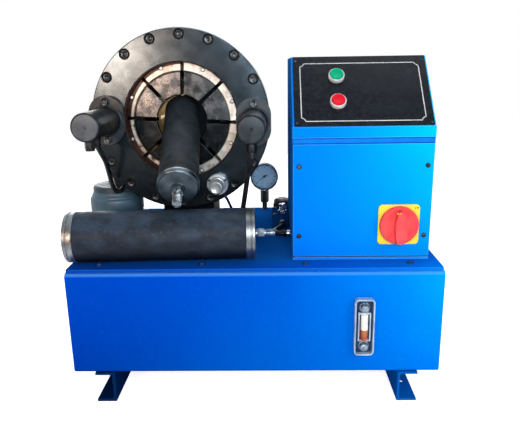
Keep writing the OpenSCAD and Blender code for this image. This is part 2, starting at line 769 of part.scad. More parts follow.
module box_screws() {
    mid = (box_x0 + box_x1) / 2;
    color("dimgray") {
        for (x = [-1, 1], z = [319.5, 451]) translate([mid + x * 116.5, cover_y, z]) rotate([90, 0, 0])
            socket_screw(4.5, 3, 2, 0);
        for (x = [-1, 1], s = panel_screws) slope_frame()
            translate([panel_x + x * (panel_w / 2 - 5), s, panel_t]) socket_screw(2.4, 1.4, 1, 0);
    }
}

module panel_plate() {
    color("#1a1a1c") slope_frame() difference() {
        translate([panel_x - panel_w / 2, panel_start, 0]) cube([panel_w, panel_len, panel_t]);
        for (s = [green_s, red_s]) translate([button_x, s, -1]) cylinder(r = sleeve_r, h = panel_t + 2);
    }
}

module button_bezels() {
    color("silver") slope_frame() for (s = [green_s, red_s]) translate([button_x, s, 0]) difference() {
        union() {
            translate([0, 0, -22]) cylinder(r = sleeve_r, h = 22 + panel_t + eps);
            translate([0, 0, panel_t]) cylinder(r1 = bezel_r, r2 = bezel_r - 1, h = bezel_h);
        }
        translate([0, 0, -8]) cylinder(r = button_neck_r + 0.3, h = 20);
        translate([0, 0, panel_t + bezel_ledge]) cylinder(r = button_r + 0.3, h = bezel_h);
        translate([0, 0, -23]) cylinder(r = button_stem_r + 0.3, h = 20);
    }
}

// Push button: cap in the bezel with a stem that reaches through it
module push_button(s) {
    top = panel_t + bezel_h + button_proud;
    head = panel_t + bezel_ledge + button_travel + 0.3;
    slope_frame() translate([button_x, s, 0]) union() {
        translate([0, 0, -3]) cylinder(r = button_neck_r, h = head + 4);
        translate([0, 0, head]) cylinder(r = button_r, h = top - 2 - head);
        translate([0, 0, top - 2 - eps]) cylinder(r1 = button_r, r2 = button_r - 1.2, h = 2);
        translate([0, 0, top - button_len]) cylinder(r = button_stem_r, h = button_len - 4);
    }
}

module green_button() {
    color("green") push_button(green_s);
}

module red_button() {
    color("red") push_button(red_s);
}

module switch_plate() {
    color("gold") translate([switch_x, cover_y, switch_z]) rotate([90, 0, 0]) difference() {
        round_plate(switch_w, switch_w, switch_corner_r, 3);
        translate([0, 0, -1]) cylinder(r = knob_shaft_r + 0.4, h = 5);
    }
}

// Round knob with a straight grip, on a shaft through the cover
module switch_knob() {
    color("red") translate([switch_x, cover_y - 3.4, switch_z]) rotate([90, 0, 0]) union() {
        cylinder(r = knob_r, h = knob_h);
        translate([0, 0, knob_h - eps]) intersection() {
            cylinder(r = knob_r - 1, h = grip_h);
            translate([-grip_w / 2, -knob_r, 0]) cube([grip_w, 2 * knob_r, grip_h]);
        }
        translate([0, 0, -16]) cylinder(r = knob_shaft_r, h = 16 + eps);
    }
}

// ---- hose assemblies ----

module hose_a_cover() {
    color("#26262a") hose_a_frame() translate([0, 0, collar_l]) difference() {
        cylinder(d = hose_a_d, h = hose_a_len - 2 * collar_l, $fn = 96);
        translate([0, 0, -1]) cylinder(r = hose_a_bore_r, h = hose_a_len, $fn = 96);
    }
}

// Turned steel ends: a collar with a groove and a plug that reaches into the hose
module hose_a_ends() {
    r = hose_a_d / 2;
    end_profile = [[0, 0], [r - 3, 0], [r, 2], [r, 7], [r - 1.4, 7.8], [r - 1.4, 9.2], [r, 10],
        [r, collar_l], [hose_a_bore_r, collar_l], [hose_a_bore_r, collar_l + 26], [0, collar_l + 26]];
    color("silver") hose_a_frame() {
        rotate_extrude($fn = 96) polygon(end_profile);
        translate([0, 0, hose_a_len]) mirror([0, 0, 1]) rotate_extrude($fn = 96) polygon(end_profile);
    }
}

// Hex and threaded nipple in the lying hose's right end
module hose_a_adapter() {
    color("silver") hose_a_frame() translate([0, 0, hose_a_len]) union() {
        cylinder(r = 7, h = 3);
        translate([0, 0, 2.5]) cylinder(r = 9, h = 14, $fn = 6);
        translate([0, 0, 16]) cylinder(r = 5.5, h = 5);
        translate([0, 0, 20]) cylinder(r = 7.5, h = 17);
    }
}

module hose_b_cover() {
    color("#202024") hose_b_frame() difference() {
        cylinder(d = hose_b_d, h = hose_b_len - hose_b_collar, $fn = 96);
        translate([0, 0, -1]) cylinder(r = hose_b_bore_r, h = hose_b_len, $fn = 96);
    }
}

// Turned ends: a plug at the rear, and a collar with a hex union at the front
module hose_b_ends() {
    r = hose_b_d / 2;
    front = hose_b_len - hose_b_collar;
    color("silver") hose_b_frame() {
        translate([0, 0, 1]) cylinder(r = hose_b_bore_r, h = 20, $fn = 96);
        rotate_extrude($fn = 96) polygon([[0, front - 20], [hose_b_bore_r, front - 20],
            [hose_b_bore_r, front], [r + 0.8, front], [r + 0.8, hose_b_len - 3], [r - 2, hose_b_len],
            [12, hose_b_len + 3], [12, hose_b_len + 6], [0, hose_b_len + 6]]);
        translate([0, 0, hose_b_len + 5]) cylinder(r = 11, h = 13, $fn = 6);
        translate([0, 0, hose_b_len + 17]) cylinder(r = 7.5, h = 10);
        translate([0, 0, hose_b_len + 26]) cylinder(r = 9, h = 22);
    }
}

tank_shell();
tank_cover();
cover_screws();
feet();
level_frame();
level_glass();
level_bolts();
filler_cap();
motor_case();
motor_rotor();
pump();
head_pedestal();
head_barrel();
front_flange();
flange_bolts();
ring_piston();
return_rods();
return_cyl_left();
return_cyl_right();
cylinder_brackets();
pressure_line_left();
pressure_line_right();
sensor();
sensor_cable();
shoe(1);  // shoe_1
shoe(2);  // shoe_2
shoe(3);  // shoe_3
shoe(4);  // shoe_4
shoe(5);  // shoe_5
shoe(6);  // shoe_6
shoe(7);  // shoe_7
shoe(8);  // shoe_8
die(1);  // die_1
die(2);  // die_2
die(3);  // die_3
die(4);  // die_4
die(5);  // die_5
die(6);  // die_6
die(7);  // die_7
die(8);  // die_8
valve_block();
valve_fittings();
valve_line();
gauge_case();
gauge_needle();
gauge_glass();
box_shell();
box_cover();
box_screws();
panel_plate();
button_bezels();
green_button();
red_button();
switch_plate();
switch_knob();
hose_a_cover();
hose_a_ends();
hose_a_adapter();
hose_b_cover();
hose_b_ends();
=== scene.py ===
"""Bench hose crimping machine: detailed pieces, finishes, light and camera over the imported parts."""

import math

import bmesh
import bpy
from bpy.props import FloatProperty, FloatVectorProperty, PointerProperty
from bpy.types import Operator, Panel, PropertyGroup
from mathutils import Matrix, Vector


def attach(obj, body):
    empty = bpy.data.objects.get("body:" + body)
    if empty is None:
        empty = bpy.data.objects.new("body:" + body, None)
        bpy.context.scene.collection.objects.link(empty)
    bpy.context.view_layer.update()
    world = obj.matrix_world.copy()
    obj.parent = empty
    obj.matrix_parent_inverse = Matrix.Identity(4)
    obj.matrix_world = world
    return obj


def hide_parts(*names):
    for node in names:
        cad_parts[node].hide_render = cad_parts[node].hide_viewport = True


bl_info = {
    "name": "Hose Crimping Machine",
    "version": (1, 0, 0),
    "blender": (4, 5, 0),
    "location": "View3D > Sidebar > Crimper",
    "description": "Builds the detailed pieces and finishes of a bench hose crimping machine",
    "category": "Add Mesh",
}

MM = 0.001
STEPS = 96
CREASE = math.radians(32)
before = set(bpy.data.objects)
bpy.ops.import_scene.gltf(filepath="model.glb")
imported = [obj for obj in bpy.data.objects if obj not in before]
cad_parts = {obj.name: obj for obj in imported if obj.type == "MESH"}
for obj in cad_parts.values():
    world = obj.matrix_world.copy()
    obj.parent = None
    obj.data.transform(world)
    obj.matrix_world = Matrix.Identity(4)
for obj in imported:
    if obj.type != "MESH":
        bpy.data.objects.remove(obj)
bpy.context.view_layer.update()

# millimetres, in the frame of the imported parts
COVER_TOP = 272.0
COVER_SCREWS = [(x, y) for x in (-291, -97, 97, 291) for y in (-212, 212)]
FOOT_HOLES = [(x, y) for x in (-294, 294) for y in (-173, 173)]
LEVEL_GAUGE = (203.5, -240, 160)
FILLER = (59, 172)
MOTOR = (-318, 45)
HEAD = (-153.0, -23.0, 521.0)
DIE_RING = 100.4
BOLT_CIRCLE = 172.5
RAM_OFFSET = 151.5
SENSOR = (-80, -23, 388)
LEFT_UNION = (-287, 132)
RIGHT_UNION = (-25, -85)
CABLE_GLAND = (-46, 29)
BLOCK_PORT = (58, 286)
BOX_PORT = (66, -32, 279)
PRESSURE_GAUGE = (15, 222, 357)
BOX_X = (73.0, 330.0)
BOX_Y = (-188.5, 146.5)
BOX_MID = 201.5
FOLD_Z = 522.0
BOX_TOP = 644.0
SLOPE_RUN = 109.5
SLOPE = math.degrees(math.atan2(BOX_TOP - FOLD_Z, SLOPE_RUN))
BUTTON_X = 157
START_S, STOP_S = 110.5, 51
SWITCH = (269.5, 341)
# degrees; the flange has no bolts behind the return cylinders
FLANGE_TURN = 1.4
BOLT_ANGLES = [90 + 20 * i - FLANGE_TURN for i in range(18) if abs(math.cos(math.radians(90 + 20 * i))) < 0.96]
# camera: width of its film, focal length as a share of that, shift, place, and pitch, yaw and roll in degrees
FILM_WIDTH = 36.0
FOCAL_SHARE = 571.55 / 520
LENS_SHIFT = (-0.0038, 0.0041)
EYE = (38.19, -1220.76, 626.84)
EYE_TURN = (15.43, -1.24, 0.87)


# ---- colour and nodes ----


def linear(shade):
    """An sRGB hex colour as linear red, green and blue."""
    parts = [int(shade[i:i + 2], 16) / 255 for i in (1, 3, 5)]
    return tuple(c / 12.92 if c <= 0.04045 else ((c + 0.055) / 1.055) ** 2.4 for c in parts)


def rgba(shade):
    """A hex colour, or one of the look's colours by its name, as linear red, green, blue and alpha."""
    return (*(linear(shade) if shade.startswith("#") else getattr(look(), shade)), 1.0)


def add(tree, kind, sockets=None, **settings):
    """Adds a node. settings are its attributes; sockets gives values or outputs to its inputs."""
    made = tree.nodes.new(kind)
    for key, value in settings.items():
        setattr(made, key, value)
    for key, value in (sockets or {}).items():
        if isinstance(value, bpy.types.NodeSocket):
            tree.links.new(value, made.inputs[key])
        else:
            made.inputs[key].default_value = value
    return made


def empty_tree(owner):
    """The node tree of a material or world, emptied."""
    owner.use_nodes = True
    owner.node_tree.nodes.clear()
    return owner.node_tree


def start(name, sockets):
    """A new material, its tree, its shader and the place on the piece, in metres."""
    material = bpy.data.materials.new(name)
    tree = empty_tree(material)
    shader = add(tree, "ShaderNodeBsdfPrincipled", sockets)
    add(tree, "ShaderNodeOutputMaterial", {"Surface": shader.outputs["BSDF"]})
    return material, tree, shader, add(tree, "ShaderNodeTexCoord").outputs["Object"]


def surface(material, shader, colour, rough=None, relief=None):
    """Puts the colour on the shader. rough is (scuffs, roughness without, roughness with them), and relief is
    (height, depth in millimetres, strength)."""
    tree = material.node_tree
    tree.links.new(colour, shader.inputs["Base Color"])
    if rough:
        scuffed = add(tree, "ShaderNodeMapRange", {"Value": rough[0], "To Min": rough[1], "To Max": rough[2]})
        tree.links.new(scuffed.outputs["Result"], shader.inputs["Roughness"])
    if relief:
        bump = add(tree, "ShaderNodeBump", {"Height": relief[0], "Distance": relief[1] * MM, "Strength": relief[2]})
        tree.links.new(bump.outputs["Normal"], shader.inputs["Normal"])
    return material


def patches(tree, place, size, low=0.35, high=0.65, detail=4.0, stretch=(1, 1, 1)):
    """0 to 1 in soft patches about size millimetres across, stretched along the piece's axes."""
    scaled = add(tree, "ShaderNodeVectorMath", {0: place, 1: stretch}, operation="MULTIPLY").outputs[0]
    noise = add(tree, "ShaderNodeTexNoise", {"Vector": scaled, "Scale": 1 / (size * MM), "Detail": detail})
    return add(tree, "ShaderNodeMapRange", {"Value": noise.outputs["Fac"], "From Min": low, "From Max": high},
               interpolation_type="SMOOTHSTEP").outputs["Result"]


def lay(tree, under, over, mask, share=1.0):
    """One colour laid over another where the mask is 1, up to share of it. A colour is a name or an output."""
    under, over = (rgba(colour) if isinstance(colour, str) else colour for colour in (under, over))
    part = add(tree, "ShaderNodeMath", {0: mask, 1: share}, operation="MULTIPLY").outputs[0]
    return add(tree, "ShaderNodeMix", {0: part, 6: under, 7: over}, data_type="RGBA").outputs[2]


def turned(tree, place, pitch):
    """Tool marks round the piece's own Z axis, pitch millimetres apart, as heights from 0 to 1."""
    axes = add(tree, "ShaderNodeSeparateXYZ", {"Vector": place}).outputs
    flat = add(tree, "ShaderNodeCombineXYZ", {"X": axes["X"], "Y": axes["Y"]}).outputs["Vector"]
    radius = add(tree, "ShaderNodeVectorMath", {0: flat}, operation="LENGTH").outputs["Value"]
    track = add(tree, "ShaderNodeCombineXYZ", {"X": radius, "Z": axes["Z"]}).outputs["Vector"]
    return add(tree, "ShaderNodeTexNoise", {"Vector": track, "Scale": 1 / (pitch * MM), "Detail": 2.0}
               ).outputs["Fac"]


def worn_and_lit_edges(tree, width):
    """1 on edges that turn within width millimetres, 0 elsewhere."""
    rounded_off = add(tree, "ShaderNodeBevel", {"Radius": width * MM}, samples=4).outputs["Normal"]
    sharp = add(tree, "ShaderNodeNewGeometry").outputs["Normal"]
    same = add(tree, "ShaderNodeVectorMath", {0: rounded_off, 1: sharp}, operation="DOT_PRODUCT").outputs["Value"]
    return add(tree, "ShaderNodeMapRange", {"Value": same, "From Min": 0.99, "From Max": 0.9}).outputs["Result"]


def beyond(tree, place, centre, low, high):
    """0 to 1 as the distance from an axis along Y through centre (x, z) grows from low to high millimetres."""
    axes = add(tree, "ShaderNodeSeparateXYZ", {"Vector": place}).outputs
    flat = add(tree, "ShaderNodeCombineXYZ", {"X": axes["X"], "Z": axes["Z"]}).outputs["Vector"]
    away = add(tree, "ShaderNodeVectorMath", {0: flat, 1: (centre[0] * MM, 0, centre[1] * MM)},
               operation="DISTANCE").outputs["Value"]
    return add(tree, "ShaderNodeMapRange", {"Value": away, "From Min": low * MM, "From Max": high * MM}
               ).outputs["Result"]


# ---- finishes ----


def enamel(name, low, high, rim, back=None, flank=None, fold=0.0, curve=(1.3, 3.3), span=(-0.35, 0.35),
           rise=(0.06, 0.27)):
    """Enamel sprayed on sheet steel: saturated and orange-peeled, with painted light: lighter towards the upper
    right as if lit from there, paler on the edges as rubbed wear and painted highlight, and, by fold, with a painted
    highlight on the folds. low and high are (left, right) colours at the bottom and the top, between span and rise in
    metres, and curve says how late each changes across. back is (left, right, from y, to y), painted shade darkening
    it towards the back, and flank is the colour of the left side, in painted shade."""
    material, tree, shader, place = start(name, {"Specular IOR Level": 0.0})
    axes = add(tree, "ShaderNodeSeparateXYZ", {"Vector": place}).outputs
    # painted light: the colour runs from painted shade at the lower left to lit at the upper right
    across = add(tree, "ShaderNodeMapRange", {"Value": axes["X"], "From Min": span[0], "From Max": span[1]})
    later = [add(tree, "ShaderNodeMath", {0: across.outputs["Result"], 1: power}, operation="POWER").outputs[0]
             for power in curve]
    up = add(tree, "ShaderNodeMapRange", {"Value": axes["Z"], "From Min": rise[0], "From Max": rise[1]})
    colour = lay(tree, lay(tree, *low, later[0]), lay(tree, *high, later[1]), up.outputs["Result"])
    # painted shade: the colour darkens towards the back
    if back:
        shaded_back = add(tree, "ShaderNodeMapRange", {"Value": axes["Y"], "From Min": back[2], "From Max": back[3]})
        colour = lay(tree, colour, lay(tree, *back[:2], later[0]), shaded_back.outputs["Result"])
    colour = lay(tree, colour, low[0], patches(tree, place, 150, 0.35, 0.75), 0.12)
    colour = lay(tree, colour, rim, patches(tree, place, 9, 0.62, 0.85), 0.05)
    # paler edges: rubbed wear and painted highlight
    colour = lay(tree, colour, rim, worn_and_lit_edges(tree, 2.0), 0.5)
    facing = add(tree, "ShaderNodeNewGeometry").outputs["Normal"]
    lean = add(tree, "ShaderNodeSeparateXYZ", {"Vector": facing}).outputs
    # painted highlight along the folds that face partly up
    lit_fold = add(tree, "ShaderNodeMapRange", {"Value": lean["Z"], "From Min": 0.2, "From Max": 0.6})
    colour = lay(tree, colour, rim, lit_fold.outputs["Result"], fold)
    # painted shade on the faces that turn to the left
    if flank:
        left = add(tree, "ShaderNodeMapRange", {"Value": lean["X"], "From Min": -0.5, "From Max": -0.95})
        colour = lay(tree, colour, flank, left.outputs["Result"])
    # orange peel is about 2 mm across; drawn at 4 mm so that it shows
    return surface(material, shader, colour, (patches(tree, place, 60), 0.28, 0.44),
                   (patches(tree, place, 4, 0.3, 0.7, 1.0), 0.08, 0.3))


def machined_steel(name, dark, light, rust, rust_share, roughness, pitch, anisotropic, blotch, metallic=1.0):
    """Steel turned on a lathe: fine rings that draw the light into wedges, with oil and heat blotches."""
    material, tree, shader, place = start(name, {"Metallic": metallic, "Anisotropic": anisotropic})
    rings = turned(tree, place, pitch)
    colour = lay(tree, dark, light, patches(tree, place, blotch, 0.3, 0.7, 5.0))
    colour = lay(tree, colour, dark, rings, 0.35)
    colour = lay(tree, colour, light, patches(tree, place, 5, 0.6, 0.85), 0.1)
    colour = lay(tree, colour, rust, patches(tree, place, 30, 0.5, 0.7), rust_share)
    tangent = add(tree, "ShaderNodeTangent", direction_type="RADIAL", axis="Z")
    tree.links.new(tangent.outputs["Tangent"], shader.inputs["Tangent"])
    return surface(material, shader, colour, (patches(tree, place, 40), roughness - 0.005, roughness + 0.01),
                   (rings, 0.02, 0.25))


def ground_steel(name, dark, light, roughness, metallic, grain, blotch, edge=0.4):
    """Milled or ground steel: cloudy oil film over fine grain, paler on edges as rubbed wear and painted highlight."""
    material, tree, shader, place = start(name, {"Metallic": metallic})
    colour = lay(tree, dark, light, patches(tree, place, blotch, 0.3, 0.7, 4.0))
    colour = lay(tree, colour, dark, patches(tree, place, grain, 0.4, 0.8), 0.14)
    # paler edges: rubbed wear and painted highlight
    colour = lay(tree, colour, light, worn_and_lit_edges(tree, 0.8), edge)
    # grinding marks are under 0.2 mm; drawn at 2 mm so that they show
    return surface(material, shader, colour, (patches(tree, place, 12), roughness - 0.04, roughness + 0.08),
                   (patches(tree, place, 2, 0.3, 0.7, 2.0), 0.02, 0.25))


def jaw_steel(name, dark, light, metallic=1.0, roughness=0.27, grease=None, shift=0.0):
    """Ground jaw steel: cloudy light metal with oil caught in the gap round the dies, which painted shadow widens on
    the left. grease is the colour and the share of the copper grease that stains it; with grease, a dark brown rim at
    the outer edge is painted shadow of the flange, widest on the left, its centre shift millimetres off the axis."""
    material, tree, shader, place = start(name, {"Metallic": metallic})
    colour = lay(tree, dark, light, patches(tree, place, 15, 0.36, 0.64, 5.0))
    colour = lay(tree, colour, dark, patches(tree, place, 5, 0.3, 0.8, 3.0), 0.1)
    if grease:
        colour = lay(tree, colour, grease[0], patches(tree, place, 12, 0.46, 0.6, 2.0), grease[1])
        # painted shadow of the flange: a dark brown rim on the strips' outer edge, widest on the left
        rim = beyond(tree, place, (HEAD[0] + shift, HEAD[2] + shift * 0.3), 111.5, 113)
        colour = lay(tree, colour, "#2e1d19", rim)
    # the dark gap round the dies is widened on its left side by painted shadow, where the dies sit behind the strips
    inner = beyond(tree, place, (HEAD[0] + 1.6, HEAD[2] - 0.5), DIE_RING - 2.8, DIE_RING - 1.8)
    outer = beyond(tree, place, (HEAD[0], HEAD[2]), DIE_RING + 1.0, DIE_RING + 2.0)
    joint_and_shadow = add(tree, "ShaderNodeMath", {0: inner, 1: outer}, operation="SUBTRACT").outputs[0]
    colour = lay(tree, colour, "#16181a", joint_and_shadow, 0.85)
    # grinding marks are under 0.2 mm; drawn at 2 mm so that they show
    return surface(material, shader, colour, (patches(tree, place, 18), roughness - 0.03, roughness + 0.05),
                   (patches(tree, place, 2, 0.3, 0.7, 2.0), 0.01, 0.2))


def zinc_plate(name, dark, light, roughness):
    """Zinc plated steel: bright, slightly blue, with cloudy white bloom."""
    material, tree, shader, place = start(name, {"Metallic": 1.0})
    colour = lay(tree, light, dark, patches(tree, place, 11, 0.3, 0.7, 3.0))
    return surface(material, shader, colour, (patches(tree, place, 9), roughness - 0.03, roughness + 0.1),
                   (patches(tree, place, 4, 0.3, 0.7, 2.0), 0.015, 0.2))


def wrapped_rubber(name, shade, pale, dusty, wrap, under=None):
    """Oil-proof hose rubber cured under cloth: matte blue-black, with grey bloom, scuffs and faint wrap bands
    wrap millimetres wide. under is the colour of the side towards the piece's X, darker as painted shade."""
    material, tree, shader, place = start(name, {"Specular IOR Level": 0.2})
    colour = lay(tree, shade, pale, patches(tree, place, 24, 0.35, 0.68, 5.0, (1, 1, 0.6)))
    colour = lay(tree, colour, dusty, patches(tree, place, 6, 0.54, 0.74, 5.0), 0.45)
    axes = add(tree, "ShaderNodeSeparateXYZ", {"Vector": place}).outputs
    # painted shade: the underside is darker
    if under:
        low = add(tree, "ShaderNodeMapRange", {"Value": axes["X"], "From Min": -0.012, "From Max": 0.036})
        colour = lay(tree, colour, under, low.outputs["Result"])
    bands = add(tree, "ShaderNodeMath", {0: axes["Z"], 1: 1 / (wrap * MM)}, operation="MULTIPLY").outputs[0]
    edge = add(tree, "ShaderNodeMath", {0: bands}, operation="FRACT").outputs[0]
    step = add(tree, "ShaderNodeMapRange", {"Value": edge, "From Min": 0.0, "From Max": 0.12}).outputs["Result"]
    cloth = patches(tree, place, 1.6, 0.3, 0.7, 2.0)
    height = add(tree, "ShaderNodeMath", {0: step, 1: 0.5, 2: cloth}, operation="MULTIPLY_ADD").outputs[0]
    return surface(material, shader, colour, (patches(tree, place, 22), 0.44, 0.66), (height, 0.18, 0.45))


def smooth_rubber(name, shade, pale, roughness=0.42):
    """Smooth extruded hose or cable jacket, with a soft sheen and dust."""
    material, tree, shader, place = start(name, {})
    colour = lay(tree, shade, pale, patches(tree, place, 12, 0.45, 0.75, 5.0))
    return surface(material, shader, colour, (patches(tree, place, 6), roughness - 0.08, roughness + 0.15),
                   (patches(tree, place, 1.5, 0.3, 0.7, 2.0), 0.05, 0.4))


def moulded(name, shade, deep, roughness=0.3, coat=0.0, gloss=0.35):
    """Injection moulded plastic, or a printed or powder coated skin: even colour and a soft plastic shine."""
    material, tree, shader, place = start(name, {"Coat Weight": coat, "Coat Roughness": 0.2,
                                                 "Specular IOR Level": gloss})
    colour = lay(tree, shade, deep, patches(tree, place, 25))
    # spark texture is about 0.1 mm; drawn at 1 mm so that it shows
    return surface(material, shader, colour, (patches(tree, place, 8), roughness - 0.06, roughness + 0.12),
                   (patches(tree, place, 1, 0.3, 0.7, 1.0), 0.015, 0.5))


def clear(name, tint, alpha):
    """Thin clear glass: almost nothing to see but its gloss and faint handling marks."""
    material, tree, shader, place = start(name, {"IOR": 1.45, "Alpha": alpha})
    colour = lay(tree, tint, "#ffffff", patches(tree, place, 10))
    return surface(material, shader, colour, (patches(tree, place, 5, 0.5, 0.8), 0.04, 0.1))


def dial_paper(name, shade, pale):
    """Printed dial: pale blue enamel, clouded by the damping oil before it."""
    material, tree, shader, place = start(name, {"Roughness": 0.5, "Specular IOR Level": 0.4})
    colour = lay(tree, shade, pale, patches(tree, place, 11))
    return surface(material, shader, colour, relief=(patches(tree, place, 2.5, 0.3, 0.7, 3.0), 0.05, 0.3))


